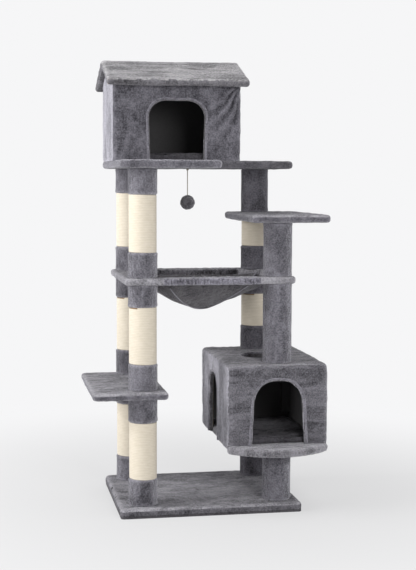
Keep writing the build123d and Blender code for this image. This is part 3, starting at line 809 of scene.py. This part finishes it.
rail_front, rail_back, rail_left, rail_right = -0.165, 0.175, -0.138, 0.147
front_left, front_right = Vector((rail_left, rail_front, rail_z)), Vector((rail_right, rail_front, rail_z))
back_left, back_right = Vector((rail_left, rail_back, rail_z)), Vector((rail_right, rail_back, rail_z))
front_left_tie, front_right_tie = Vector((-0.205, -0.132, tie_z)), Vector((0.222, -0.132, tie_z))
back_left_tie, back_right_tie = Vector((-0.205, 0.141, tie_z)), Vector((0.228, 0.136, tie_z))
left_low, right_low = Vector((-0.143, 0.0, 0.712)), Vector((0.150, 0.0, 0.710))
on_rail, to_tie, on_side = 96, 16, 72
rim = straight(front_left, front_right, on_rail, 2.2, 1.25)
rim += straight(front_right, front_right_tie, to_tie, 1.25, 1.2)
rim += sagging(front_right_tie, right_low, back_right_tie, on_side, 1.2)
rim += straight(back_right_tie, back_right, to_tie, 1.2, 1.3)
rim += straight(back_right, back_left, on_rail, 1.3, 2.1)
rim += straight(back_left, back_left_tie, to_tie, 2.1, 1.9)
rim += sagging(back_left_tie, left_low, front_left_tie, on_side, 1.9)
rim += straight(front_left_tie, front_left, to_tie, 1.9, 2.2)
half_rim = on_rail + to_tie + on_side + to_tie
seam_starts = {
    "front_left": 0,
    "front_right": on_rail,
    "back_right": half_rim,
    "back_left": half_rim + on_rail,
}
free_edges = {"right": (on_rail, half_rim), "left": (half_rim + on_rail, 2 * half_rim)}


def cloth_point(turn, t):
    """A point of the cloth, a share t of the way from its rim to its foot."""
    edge, fullness = rim[turn % len(rim)]
    spot = edge.lerp(foot, t)
    spot.z = edge.z + (foot.z - edge.z) * (1 - (1 - t) ** fullness)
    return spot


around, inward = len(rim), 60
shares = [(row / inward) ** 1.2 for row in range(inward)]
points = [cloth_point(turn, t) for t in shares for turn in range(around)] + [foot]
faces = ring_faces(inward, around)
last = (inward - 1) * around
faces += [(last + turn, last + (turn + 1) % around, inward * around) for turn in range(around)]
bowl = mesh_piece("hammock_cloth", points, faces, hammock_plush)
inwards = np.array([t for t in shares for turn in range(around)] + [1.0])
on_a_rail = [min(abs(edge.y - rail_front), abs(edge.y - rail_back)) < 0.001 for edge, _ in rim]
gathered = np.array([*np.tile(np.array(on_a_rail, dtype=float), inward), 0.0])


def creases(points, normals):
    """Gathers below the two rails, and slack lower down."""
    gather_high, gather_reach, slack_high = 0.0045, 0.14, 0.0035
    pleats = np.array([noise.noise(Vector((p[0] * 75, p[1] * 4, 0.3))) for p in points])
    slack = ripple(points, 0.06, shift=2.0) * np.sin(np.pi * inwards)
    return gather_high * pleats * gathered * np.exp(-inwards / gather_reach) + slack_high * slack


push(bowl, creases)
solid = bowl.modifiers.new("thickness", "SOLIDIFY")
solid.thickness, solid.offset = cloth_thick, 0.0
settle(bowl)
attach(bowl, "tree")
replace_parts(bowl, "hammock_bowl")

# A seam's cord stretches the plush over it, so its pile opens; the seams and free edges are also painted
# paler than the cloth beside them, as a painted highlight on the raised cord.
painted_highlight_seam_plush = plush("grey_plush_hammock_seams_painted_highlight", "#5e5c63", "#9f9da5", sheen=0.4)
piping_tree, given = node_tree("piping", radius=0.0022, cover=painted_highlight_seam_plush)
line = add(piping_tree, "GeometryNodeMeshToCurve", {0: given["Geometry"]})
section = add(
    piping_tree,
    "GeometryNodeCurvePrimitiveCircle",
    {"Resolution": 12, "Radius": given["radius"]},
)
tube = add(
    piping_tree,
    "GeometryNodeCurveToMesh",
    {"Curve": line.outputs[0], "Profile Curve": section.outputs[0], "Fill Caps": True},
)
smooth_tube = add(piping_tree, "GeometryNodeSetShadeSmooth", {0: tube.outputs[0]})
end_tree(piping_tree, smooth_tube.outputs[0], given["cover"])


def line_piece(name, points):
    """A line of points, as an object whose mesh holds only the edges between them."""
    mesh = bpy.data.meshes.new(name)
    mesh.from_pydata([tuple(p) for p in points], [(i, i + 1) for i in range(len(points) - 1)], [])
    piece = bpy.data.objects.new(name, mesh)
    bpy.context.scene.collection.objects.link(piece)
    return piece


def piping(name, points, radius, cover, node=None):
    """A corded piping that follows a line of points."""
    piece = run_tree(line_piece(name, points), piping_tree, radius=radius, cover=cover)
    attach(piece, "tree")
    if node:
        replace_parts(piece, node)
    return piece


seam_radius, edge_radius, seam_below = 0.0021, 0.0026, Vector((0, 0, 0.0012))
seam_steps, seam_from, edge_inset = 40, 3, 4
for corner, turn in seam_starts.items():
    spots = [cloth_point(turn, step / seam_steps) for step in range(seam_from, seam_steps + 1)]
    seam = [spot - seam_below for spot in spots]
    piping(f"hammock_seam_{corner}", seam, seam_radius, painted_highlight_seam_plush)
for side, (start, end) in free_edges.items():
    edge = [cloth_point(turn, 0.0) for turn in range(start + edge_inset, end - edge_inset + 1)]
    piping(f"hammock_edge_{side}", edge, edge_radius, painted_highlight_seam_plush)

hem_low, hem_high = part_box("hammock_hem")
rail_middle_z = (frame_low.z + frame_high.z) / 2


def gathered_hem(name, near, far, seed, material):
    """A hem that wraps one rail between the posts, ruffled by the elastic inside it."""
    rows, around = 300, 40
    half_deep, half_tall = (far - near) / 2 + 0.0022, (frame_high.z - frame_low.z) / 2 + 0.0008
    square_deep, square_tall = 0.35, 0.6
    slack, gather_high, puff_high, crinkle_high = 0.0008, 0.0006, 0.0085, 0.0016
    middle = (near + far) / 2
    points = []
    for row in range(rows + 1):
        x = hem_low.x + (hem_high.x - hem_low.x) * row / rows
        gather = min(min(row, rows - row) / rows * 14, 1.0)
        for turn in range(around):
            angle = 2 * math.pi * turn / around
            c, s = math.cos(angle), math.sin(angle)
            y = half_deep * math.copysign(abs(c) ** square_deep, c)
            z = half_tall * math.copysign(abs(s) ** square_tall, s)
            puff = abs(noise.noise(Vector((x * 62, c * 0.7, s * 0.7 + seed))))
            crinkle = noise.noise(Vector((x * 140, c * 1.6, s * 1.6 + seed)))
            swell = slack + gather * (gather_high + puff_high * puff + crinkle_high * crinkle)
            points.append((x, middle + y + swell * c, rail_middle_z + z + 0.3 * swell * s))
    faces = [tuple(range(around)), tuple(rows * around + turn for turn in reversed(range(around)))]
    faces += ring_faces(rows + 1, around)
    piece = mesh_piece(name, points, faces, material)
    face_outwards(piece)
    piece.data.shade_smooth()
    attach(piece, "tree")
    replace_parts(piece, "hammock_hem")
    return piece


# The front hem is painted paler as painted light, and the back hem, which faces away from the light, is
# painted darker as painted shade.
painted_light_hem_plush = plush("grey_plush_front_hem_painted_light", "#403e44", "#9795a0")
shaded_hem_plush = plush("grey_plush_back_hem_painted_shade", "#232224", "#6e6c72")
gathered_hem("hammock_hem_front", frame_low.y, window_y[0], 1.0, painted_light_hem_plush)
gathered_hem("hammock_hem_back", window_y[1], frame_high.y, 8.0, shaded_hem_plush)

# ---- Condo. A box of thin boards in one plush skin, with a doorway at the front and left and a round
# hole in its top. Inside it is lined in black, and every doorway is bound and corded.

# The lining is felted polypropylene: black, dull and a little cloudy. Its fibres bunch over 2.5 mm.
lining, tree = new_material("black_nonwoven_lining")
fibre_bunch = 0.0025
place = add(tree, "ShaderNodeTexCoord").outputs["Object"]
fuzz = add(tree, "ShaderNodeTexNoise", {"Vector": place, "Scale": 1 / fibre_bunch, "Detail": 3.0})
colour = add(
    tree,
    "ShaderNodeMix",
    {0: fuzz.outputs["Fac"], 6: hexed("#393839"), 7: hexed("#4e4d4e")},
    data_type="RGBA",
)
bump = add(tree, "ShaderNodeBump", {"Strength": 0.3, "Distance": 0.0005, "Height": fuzz.outputs["Fac"]})
felt = add(
    tree,
    "ShaderNodeBsdfPrincipled",
    {
        "Base Color": colour.outputs[2],
        "Roughness": 0.95,
        "Specular IOR Level": 0.1,
        "Normal": bump.outputs[0],
    },
)
add(tree, "ShaderNodeOutputMaterial", {"Surface": felt.outputs[0]})

# The skin is brushed level across the front. Its left walls are painted palest as painted light, and the
# top takes the paler board plush, also painted light.
condo_plush = plush("grey_plush_on_condo", "#37363a", "#87858c", (0.45, 1.0, 1.8))
painted_light_left_plush = plush("grey_plush_left_walls_painted_light", "#55545a", "#c0bec8", (1.0, 1.0, 0.5), sheen=0.6)
left_slope, wall_voxel = -0.8, 0.0045
condo_low, condo_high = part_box("condo_walls_plush")
condo_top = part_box("condo_top_plush")[1].z
floor_low, floor_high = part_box("condo_floor_plush")
skin, wall_thick = 0.009, 0.0155
wall_foot = condo_low.z - 0.0035
condo = prism("condo_cover", arc_outline(plan(condo_low, condo_high), 0.018), wall_foot, condo_top)
round_edges(condo, 0.012)
settle(condo)


def doorway(half_low, half_high, foot, top, radius, shrink=0.0):
    """A doorway's outline: its two feet, its straight sides, and two rounded upper corners."""
    corners = [
        (-half_low + shrink, foot),
        (half_low - shrink, foot),
        (half_high - shrink, top - shrink),
        (-half_high + shrink, top - shrink),
    ]
    return arc_outline(corners, [0, 0, radius - shrink, radius - shrink], 14)


def moved_along(middle, outline):
    """An outline moved along its first axis by middle."""
    return [(middle + a, b) for a, b in outline]


def hole_circle(radius, count, closing=0):
    """Points round the hole in the condo's top."""
    angles = [2 * math.pi * i / count for i in range(count + closing)]
    return [(hole_x + radius * math.cos(a), hole_y + radius * math.sin(a)) for a in angles]


front_door = (0.0925, 0.080, condo_low.z - 0.02, 0.439, 0.072)
left_door = (0.081, 0.076, condo_low.z - 0.02, 0.433, 0.066)
left_door_y = 0.022
hole_x, hole_y, hole_radius = 0.2196, -0.002, 0.0775
bind, through, past = 0.002, 0.05, 0.01
front_cut = moved_along(hole_x, doorway(*front_door, bind))
left_cut = moved_along(left_door_y, doorway(*left_door, bind))
carve(
    condo,
    prism("room", plan(condo_low, condo_high, skin), condo_low.z + 0.004, condo_top - skin),
    prism("room_foot", plan(condo_low, condo_high, wall_thick), condo_low.z - 0.1, condo_low.z + 0.005),
    prism("front_door", front_cut, condo_low.y - through, condo_low.y + through, "Y"),
    prism("left_door", left_cut, condo_low.x - through, condo_low.x + through, "X"),
    prism("top_hole", hole_circle(hole_radius - bind, 64), condo_top - through, condo_top + through),
    prism(
        "porch_gap",
        [
            (condo_low.x - past, condo_low.y - past),
            (condo_high.x + past, condo_low.y - past),
            (condo_high.x + past, condo_low.y + wall_thick),
            (condo_low.x - past, condo_low.y + wall_thick),
        ],
        condo_low.z - through,
        floor_high.z + 0.0005,
    ),
)
upholster(condo, condo_plush, voxel=wall_voxel)


def condo_slack(points, normals):
    """Slack in the condo's skin: level folds along the front's top edge and brushed lumps elsewhere."""
    fold_high, fold_z, fold_reach = 0.0022, 0.465, 0.02
    slack_high, tuft_high = 0.0019, 0.0009
    front = np.clip(-normals[:, 1], 0, 1)
    near_top = np.exp(-(((points[:, 2] - fold_z) / fold_reach) ** 2))
    folds = front * near_top * ripple(points, 0.05, (0.35, 1.0, 2.6), 4.0) * fold_high
    slack = slack_high * ripple(points, 0.06, shift=1.0)
    return folds + slack + tuft_high * ripple(points, 0.013, shift=3.0)


push(condo, condo_slack)
# Left walls get the paler plush and the top the board plush: painted light on both.
lay_pile(
    condo,
    lambda face: 2 if face.normal.z > top_slope else int(face.normal.x < left_slope),
    painted_light_left_plush,
    board_plush,
)
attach(condo, "tree")
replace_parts(condo, "condo_walls_plush", "condo_top_plush")


def finish_node(node, material):
    """Give one of the frame's own nodes its material."""
    mesh = frame["nodes"][node].data
    mesh.materials.clear()
    mesh.materials.append(material)


for lined in ("condo_lining", "condo_battens"):
    finish_node(lined, lining)


def door_line(outline, foot):
    """The part of a doorway's outline that runs from one foot over the top to the other."""
    line = [p for p in outline[1:] + outline[:1] if p[1] > foot - 1e-6]
    start, end = Vector((outline[1][0], foot)), Vector((outline[0][0], foot))
    return [start, *line[1:-1], end] if line[0][1] <= foot + 1e-6 else [start, *line, end]


# Piping is the skin's own plush on the bias, so its pile opens evenly and it looks smooth and pale.
door_piping_plush = plush("grey_plush_on_door_piping", "#454349", "#87858d")
cord_radius, cord_out, bind_in = 0.0042, -0.0045, 0.0012
door_deep, hole_deep, off_face = 0.013, 0.017, 0.001


def bound_door(name, line, inner, at, thick, node=None):
    """The corded edge of a doorway, and the binding that wraps the wall's cut edge inside it."""
    piping(name, [at(a, b, 0.0) for a, b in line], cord_radius, door_piping_plush, node)
    depths = [thick * share / 5 for share in range(6)]
    points = [at(a, b, depth) for depth in depths for a, b in inner]
    count = len(inner)
    faces = [
        (row * count + i, row * count + i + 1, (row + 1) * count + i + 1, (row + 1) * count + i)
        for row in range(len(depths) - 1)
        for i in range(count - 1)
    ]
    # The binding inside each doorway takes the hammock's darker plush, as painted shade inside the opening.
    piece = mesh_piece(f"{name}_binding", points, faces, hammock_plush)
    wall = piece.modifiers.new("cloth", "SOLIDIFY")
    wall.thickness, wall.offset = cloth_thick, 0.0
    settle(piece)
    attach(piece, "tree")


bound_door(
    "condo_front_piping",
    moved_along(hole_x, door_line(doorway(*front_door, cord_out), floor_high.z)),
    moved_along(hole_x, door_line(doorway(*front_door, bind_in), floor_high.z)),
    lambda a, b, deep: (a, condo_low.y + off_face + deep, b),
    door_deep,
    "condo_arch_pipings",
)
bound_door(
    "condo_left_piping",
    moved_along(left_door_y, door_line(doorway(*left_door, cord_out), condo_low.z)),
    moved_along(left_door_y, door_line(doorway(*left_door, bind_in), condo_low.z)),
    lambda a, b, deep: (condo_low.x + off_face + deep, a, b),
    door_deep,
)
bound_door(
    "condo_hole_piping",
    hole_circle(hole_radius + off_face, 72, closing=1),
    hole_circle(hole_radius - bind_in, 72, closing=1),
    lambda a, b, deep: (a, b, condo_top - 0.002 - deep),
    hole_deep,
)

# ---- Condo floor. A board with a bowed porch in front, in plush, and a padded mat inside the room. The
# porch's pile is trodden in patches, so its marks are strong.
porch_plush = plush("grey_plush_on_porch", "#252427", "#9a989e", (0.6, 1.8, 1.0))
wall_in, porch_edge, bow_steps = 0.015, 0.008, 24
porch_reach = condo_low.y - floor_low.y
half_wide = (condo_high.x - condo_low.x) / 2
bow_radius = (half_wide**2 + porch_reach**2) / (2 * porch_reach)
bow_angle = math.asin(half_wide / bow_radius)
middle_x = (condo_low.x + condo_high.x) / 2
porch = [
    (middle_x + bow_radius * math.sin(a), floor_low.y + bow_radius * (1 - math.cos(a)))
    for a in [bow_angle * (i / bow_steps - 1) for i in range(2 * bow_steps + 1)]
]
porch += [
    (condo_high.x, condo_low.y + wall_in),
    (condo_high.x - wall_in, condo_low.y + wall_in),
    (condo_high.x - wall_in, condo_high.y - wall_in),
    (condo_low.x + wall_in, condo_high.y - wall_in),
    (condo_low.x + wall_in, condo_low.y + wall_in),
    (condo_low.x, condo_low.y + wall_in),
]
porch_cover = prism("condo_floor_cover", porch, floor_low.z, floor_high.z)
upholster(porch_cover, porch_plush, voxel=wall_voxel, edge=porch_edge)


def porch_folds(points, normals):
    """Shallow folds across the porch's top, where its cover is slack."""
    fold_high, tuft_high = 0.003, 0.0009
    top = np.clip(normals[:, 2], 0, 1)
    folds = fold_high * top * ripple(points, 0.04, (0.5, 1.6, 1.0), 6.0)
    return folds + tuft_high * ripple(points, 0.02, shift=2.0)


push(porch_cover, porch_folds)
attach(porch_cover, "tree")
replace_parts(porch_cover, "condo_floor_plush")

# The mats' plush is flattened, with little sheen, and painted dark, nearly black at its deepest, as painted
# shade inside the rooms.
painted_shade_mat_plush = plush("grey_plush_mats_painted_shade", "#0d0c0e", "#58565b", (0.8, 1.4, 1.0), sheen=0.15)


def filled(piece, cap):
    """Let the filling push the cloth out, by simulation, with no point moving farther than cap."""
    scene = bpy.context.scene
    start, _ = grid_of(piece.data)
    cloth = piece.modifiers.new("filling", "CLOTH")
    cloth.settings.use_pressure = True
    cloth.settings.uniform_pressure_force = 4.0
    cloth.settings.effector_weights.gravity = 0.0
    last_step = 20
    cloth.point_cache.frame_start, cloth.point_cache.frame_end = 1, last_step
    for step in range(1, last_step + 1):
        scene.frame_set(step)
    swollen = evaluated(piece)
    end, _ = grid_of(swollen)
    bpy.data.meshes.remove(swollen)
    piece.modifiers.clear()
    scene.frame_set(1)
    moved = end - start
    far = np.linalg.norm(moved, axis=1)
    moved *= np.minimum(1.0, cap / np.maximum(far, 1e-9))[:, None]
    move_points(piece, start + moved)


def room_mat(name, node, shift, sink=0.0):
    """A loose plush mat inside a room, rumpled by use. It thins by sink from its front to its back."""
    low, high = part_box(node)
    clear, mat_corner, mat_edge, fullest = 0.003, 0.01, 0.006, 0.006
    fold_high, tuft_high = 0.009, 0.001
    outline = arc_outline(plan(low, high, clear), mat_corner)
    piece = prism(name, outline, low.z + 0.001, high.z - clear)
    upholster(piece, painted_shade_mat_plush, edge=mat_edge)
    filled(piece, fullest)

    def folds(points, normals):
        crests = 1 - 2 * np.abs(ripple(points, 0.06, (0.7, 1.3, 1.0), shift))
        front = np.clip((points[:, 1] - low.y) / 0.03, 0.35, 1)
        top = np.clip(normals[:, 2], 0, 1)
        return fold_high * top * front * (crests - 1) + tuft_high * ripple(points, 0.02)

    push(piece, folds)
    points, normals = grid_of(piece.data)
    back = (points[:, 1] - low.y) / (high.y - low.y)
    points[:, 2] -= sink * back * (points[:, 2] - low.z) / (high.z - low.z)
    move_points(piece, points)
    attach(piece, "tree")
    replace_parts(piece, node)


room_mat("condo_mat", "condo_inner_mat", 11.0, 0.016)

# ---- House. Boards in one plush skin with an arched doorway. The skin is pulled up under the roof at its
# right corner, so folds fan out from there across the front.
house_low, house_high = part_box("house_walls_plush")
roof_low, roof_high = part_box("roof_plush")
ridge_y = (roof_low.y + roof_high.y) / 2
roof_thick, half_span, eave_top = 0.022, 0.204, 1.420
roof_slope = math.atan2(roof_high.z - eave_top, half_span)


def under_roof(y):
    """The height of the roof's underside."""
    return roof_high.z - roof_thick / math.cos(roof_slope) - abs(y - ridge_y) * math.tan(roof_slope)


gable = [
    (house_low.y, house_low.z),
    (house_high.y, house_low.z),
    (house_high.y, under_roof(house_high.y)),
    (ridge_y, under_roof(ridge_y)),
    (house_low.y, under_roof(house_low.y)),
]
house = prism("house_cover", gable, house_low.x, house_high.x, "X")
house_corner = 0.012
shape = bmesh.new()
shape.from_mesh(house.data)
upright = [e for e in shape.edges if abs((e.verts[0].co - e.verts[1].co).normalized().z) > 0.99]
bmesh.ops.bevel(shape, geom=upright, offset=house_corner, segments=5, affect="EDGES", profile=0.5)
shape.to_mesh(house.data)
shape.free()
door = (0.092, 0.098, house_low.z - 0.02, 1.357, 0.058)
door_x = -0.088
door_cut = moved_along(door_x, doorway(*door, bind))
room_gable = [
    (house_low.y + skin, house_low.z - 0.05),
    (house_high.y - skin, house_low.z - 0.05),
    (house_high.y - skin, roof_high.z + 0.1),
    (house_low.y + skin, roof_high.z + 0.1),
]
carve(
    house,
    prism("room", room_gable, house_low.x + skin, house_high.x - skin, "X"),
    prism("door", door_cut, house_low.y - through, house_low.y + through, "Y"),
)
upholster(house, wall_plush, voxel=wall_voxel)
pull = Vector((house_high.x + 0.012, under_roof(house_low.y) + 0.012))


def house_slack(points, normals):
    """Folds that fan out from the front's right top corner, and small lumps everywhere."""
    # Each fold: degrees from straight down, how far it reaches, and its height in millimetres
    fan_folds = ((10, 0.20, 4.5), (23, 0.26, 6.0), (36, 0.22, 6.0), (50, 0.15, 4.5), (76, 0.22, 4.0))
    crest_wide, dip_wide, dip_after, dip_share = 4.5, 4.0, 7, 0.35
    left_slack, front_slack, all_slack, tuft_high = 0.005, 0.0018, 0.0014, 0.0008
    front = np.clip(-normals[:, 1], 0, 1) ** 2
    across, down = pull.x - points[:, 0], pull.y - points[:, 2]
    far = np.hypot(across, down)
    fan = np.degrees(np.arctan2(across, down)) + 5.0 * ripple(points, 0.09, shift=2.2)
    folds = np.zeros(len(points))
    for angle, length, height in fan_folds:
        crest = np.exp(-(((fan - angle) / crest_wide) ** 2))
        crest -= dip_share * np.exp(-(((fan - angle - dip_after) / dip_wide) ** 2))
        fade = np.clip(far / 0.03, 0, 1) * np.clip(1.4 - far / length, 0, 1)
        folds += height * 0.001 * crest * fade
    corners = np.exp(-(((points[:, 0] - house_low.x - 0.05) / 0.06) ** 2))
    slack = corners * np.abs(ripple(points, 0.05, (1.0, 1.0, 0.8), 1.5)) * left_slack
    slack += front_slack * ripple(points, 0.06, shift=8.0)
    lumps = all_slack * ripple(points, 0.05, shift=3.0)
    return front * (folds + slack) + lumps + tuft_high * ripple(points, 0.013, shift=5.0)


push(house, house_slack)
# The left wall gets the paler plush: painted light.
lay_pile(house, lambda face: int(face.normal.x < left_slope), painted_light_left_plush)
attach(house, "tree")
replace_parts(house, "house_walls_plush")
for lined in ("house_lining", "house_battens"):
    finish_node(lined, lining)
bound_door(
    "house_door_piping",
    moved_along(door_x, door_line(doorway(*door, cord_out), house_low.z)),
    moved_along(door_x, door_line(doorway(*door, bind_in), house_low.z)),
    lambda a, b, deep: (a, house_low.y + off_face + deep, b),
    door_deep,
    "house_arch_piping",
)
room_mat("house_mat", "house_inner_mat", 14.0)

# ---- Door stitching. A row of 4.5 mm stitches runs round each doorway, outside its piping, where the
# skin is sewn to its own turned-in edge.

# Spun polyester thread: nearly matt, a shade darker than the plush. Its plies twist over 1.4 mm.
thread, tree = new_material("grey_polyester_thread")
ply_twist = 0.00143
place = add(tree, "ShaderNodeTexCoord").outputs["Object"]
ply = add(tree, "ShaderNodeTexNoise", {"Vector": place, "Scale": 1 / ply_twist})
colour = add(
    tree,
    "ShaderNodeMix",
    {0: ply.outputs["Fac"], 6: hexed("#3b3a3f"), 7: hexed("#4c4a50")},
    data_type="RGBA",
)
twine = add(tree, "ShaderNodeBsdfPrincipled", {"Base Color": colour.outputs[2], "Roughness": 0.6})
add(tree, "ShaderNodeOutputMaterial", {"Surface": twine.outputs[0]})
stitching, given = node_tree("stitching", spacing=0.007, length=0.0045, width=0.0012)
line = add(stitching, "GeometryNodeMeshToCurve", {0: given["Geometry"]})
stops = add(
    stitching,
    "GeometryNodeCurveToPoints",
    {"Curve": line.outputs[0], "Length": given["spacing"]},
    mode="LENGTH",
)
stitch = add(stitching, "GeometryNodeMeshUVSphere", {"Segments": 6, "Rings": 4, "Radius": 0.5})
size = add(
    stitching,
    "ShaderNodeCombineXYZ",
    {"X": given["width"], "Y": given["width"], "Z": given["length"]},
)
turn = add(
    stitching,
    "FunctionNodeAlignRotationToVector",
    {"Vector": stops.outputs["Tangent"]},
    axis="Z",
)
placed = add(
    stitching,
    "GeometryNodeInstanceOnPoints",
    {
        "Points": stops.outputs["Points"],
        "Instance": stitch.outputs["Mesh"],
        "Rotation": turn.outputs[0],
        "Scale": size.outputs[0],
    },
)
end_tree(stitching, placed.outputs[0], thread)
stitch_out, stitch_off, stitch_foot = -0.019, 0.0006, 0.002


def stitch_row(name, middle, opening, foot, face_y):
    """Stitches round one front doorway, just off the skin's face."""
    outline = moved_along(middle, door_line(doorway(*opening, stitch_out), foot + stitch_foot))
    piece = run_tree(line_piece(name, [(a, face_y - stitch_off, b) for a, b in outline]), stitching)
    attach(piece, "tree")


stitch_row("house_door_stitches", door_x, door, house_low.z, house_low.y)
stitch_row("condo_front_stitches", hole_x, front_door, floor_high.z, condo_low.y)

# ---- Roof. Two boards meet at the ridge under one plush cover, brushed along its length. Its pile lies flat and streaky on the slopes, which are painted paler with less sheen as painted light, and its eaves are painted darker as painted shade.
roof_plush = plush("grey_plush_on_roof", "#333334", "#b6b4b6", (0.5, 1.8, 1.8), sheen=0.3)
painted_shade_eave_plush = plush("grey_plush_eaves_painted_shade", "#29282a", "#828085", sheen=0.4)


def roof_profile(side):
    """The top and bottom corners of the eave on one side of the ridge, -1 in front and 1 behind."""
    run, fall = math.cos(roof_slope), math.sin(roof_slope)
    eave = Vector((ridge_y + side * half_span, eave_top))
    under = eave + Vector((-side * fall, -run)) * roof_thick
    return eave, under


front_eave, front_under = roof_profile(-1)
back_eave, back_under = roof_profile(1)
roof_outline = [
    (ridge_y, roof_high.z),
    front_eave,
    front_under,
    (ridge_y, under_roof(ridge_y)),
    back_under,
    back_eave,
]
roof = prism("roof_cover", roof_outline, roof_low.x, roof_high.x, "X")
upholster(roof, roof_plush, edge=board_edge)
rumple(roof, height=0.0016, size=0.08, stretch=(0.4, 1.5, 1.5))
# Eaves and underside get the darker plush: painted shade.
lay_pile(roof, lambda face: int(face.normal.z < side_slope), painted_shade_eave_plush)
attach(roof, "tree")
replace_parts(roof, "roof_plush")

# ---- Toy. A plush ball on a thin elastic cord, knotted through an eyelet under the top board. The ball's
# short pile is even and dark all round.
ball_plush = plush("grey_plush_ball", "#38363a", "#6d6b6f", sheen=0.5)
ball_low, ball_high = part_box("toy_ball")
pile_in = 0.001
shape = bmesh.new()
bmesh.ops.create_icosphere(shape, subdivisions=5, radius=(ball_high.x - ball_low.x) / 2 - pile_in)
bmesh.ops.translate(shape, verts=shape.verts, vec=(ball_low + ball_high) / 2)
ball_mesh = bpy.data.meshes.new("toy_ball_plush")
shape.to_mesh(ball_mesh)
shape.free()
ball_mesh.shade_smooth()
ball_mesh.materials.append(ball_plush)
ball = bpy.data.objects.new("toy_ball_plush", ball_mesh)
bpy.context.scene.collection.objects.link(ball)
lump_high, tuft_high = 0.0012, 0.0008
push(ball, lambda points, normals: lump_high * ripple(points, 0.008) + tuft_high * ripple(points, 0.003))
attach(ball, "toy")
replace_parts(ball, "toy_ball")

# Rubber core in a braided cotton jacket: a fine herringbone, dull and a little grubby. Real picks are
# 1 mm, too fine to show, so they are drawn at about 6 mm.
elastic, tree = new_material("braided_elastic_cord")
braid_pick = 0.00625
place = add(tree, "ShaderNodeTexCoord").outputs["Object"]
braid = add(
    tree,
    "ShaderNodeTexWave",
    {"Vector": place, "Scale": 1 / braid_pick, "Distortion": 2.0},
    bands_direction="Z",
)
colour = add(
    tree,
    "ShaderNodeMix",
    {0: braid.outputs["Fac"], 6: hexed("#7d776d"), 7: hexed("#a29b8f")},
    data_type="RGBA",
)
bump = add(tree, "ShaderNodeBump", {"Strength": 0.4, "Distance": 0.0003, "Height": braid.outputs["Fac"]})
jacket = add(
    tree,
    "ShaderNodeBsdfPrincipled",
    {"Base Color": colour.outputs[2], "Roughness": 0.75, "Normal": bump.outputs[0]},
)
add(tree, "ShaderNodeOutputMaterial", {"Surface": jacket.outputs[0]})
cord_low, cord_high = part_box("toy_cord")
cord_x, cord_y = (cord_low.x + cord_high.x) / 2, (cord_low.y + cord_high.y) / 2
cord_curve = bpy.data.curves.new("toy_cord_elastic", "CURVE")
cord_curve.dimensions = "3D"
cord_line = cord_curve.splines.new("NURBS")
cord_line.points.add(3)
for point, share in zip(cord_line.points, (0.0, 0.33, 0.67, 1.0)):
    point.co = (cord_x, cord_y, cord_high.z + (cord_low.z - cord_high.z) * share, 1.0)
cord_line.order_u = 3
cord_line.use_endpoint_u = True
cord_curve.bevel_depth = (cord_high.x - cord_low.x) / 2
cord_curve.bevel_resolution = 4
cord_curve.use_fill_caps = True
cord_curve.materials.append(elastic)
toy_cord = bpy.data.objects.new("toy_cord_elastic", cord_curve)
bpy.context.scene.collection.objects.link(toy_cord)
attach(toy_cord, "toy")
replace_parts(toy_cord, "toy_cord")
finish_node("toy_knot", elastic)

# ---- Hidden frame. Boards, tubes, battens and fasteners, each in its own plain finish.


def grained(name, dark, light, grain_size, rough, metal=0.0, stretch=(1.0, 1.0, 1.0)):
    """A plain finish with a speckle or a grain of one size in metres: board, card, pine or zinc."""
    material, tree = new_material(name)
    place = add(tree, "ShaderNodeTexCoord").outputs["Object"]
    drawn = add(tree, "ShaderNodeMapping", {"Vector": place, "Scale": stretch}).outputs["Vector"]
    grain = add(tree, "ShaderNodeTexNoise", {"Vector": drawn, "Scale": 1 / grain_size, "Detail": 5.0})
    colour = add(
        tree,
        "ShaderNodeMix",
        {0: grain.outputs["Fac"], 6: hexed(dark), 7: hexed(light)},
        data_type="RGBA",
    )
    bump = add(
        tree,
        "ShaderNodeBump",
        {"Strength": 0.3, "Distance": 0.0005, "Height": grain.outputs["Fac"]},
    )
    finish = add(
        tree,
        "ShaderNodeBsdfPrincipled",
        {
            "Base Color": colour.outputs[2],
            "Roughness": rough,
            "Metallic": metal,
            "Normal": bump.outputs[0],
        },
    )
    add(tree, "ShaderNodeOutputMaterial", {"Surface": finish.outputs[0]})
    return material


# Particle board shows pale 6 mm chips. Card is brown and matt, in bands along its winding. Zinc plate is
# a dull silver with a 3 mm spangle. Pine has a long grain 6 mm wide. The underlay is black felt.
finishes = {
    "board": grained("raw_particle_board", "#8f7350", "#c7ab80", 0.00625, 0.8),
    "cardboard_tube": grained("spiral_cardboard", "#8d6b48", "#a5835c", 0.0167, 0.85, stretch=(1, 1, 4)),
    "zinc_steel": grained("zinc_plated_steel", "#9fa2a6", "#c6c9cc", 0.00333, 0.35, metal=1.0),
    "pine": grained("raw_pine", "#c69a62", "#e0bd88", 0.025, 0.7, stretch=(4, 4, 0.4)),
    "underlay": grained("black_nonwoven_underlay", "#141415", "#222224", 0.002, 0.95),
    "grey_plush": board_plush,
}
slots = {row["node"]: row["material_slot"] for row in frame["record"]["subparts"]}
for node in frame["nodes"]:
    if slots[node] in finishes:
        finish_node(node, finishes[slots[node]])
# The frame's turned-in plush under the base takes the darkest plush too, as painted shade beneath the
# board.
finish_node("base_plush", painted_shade_under_plush)
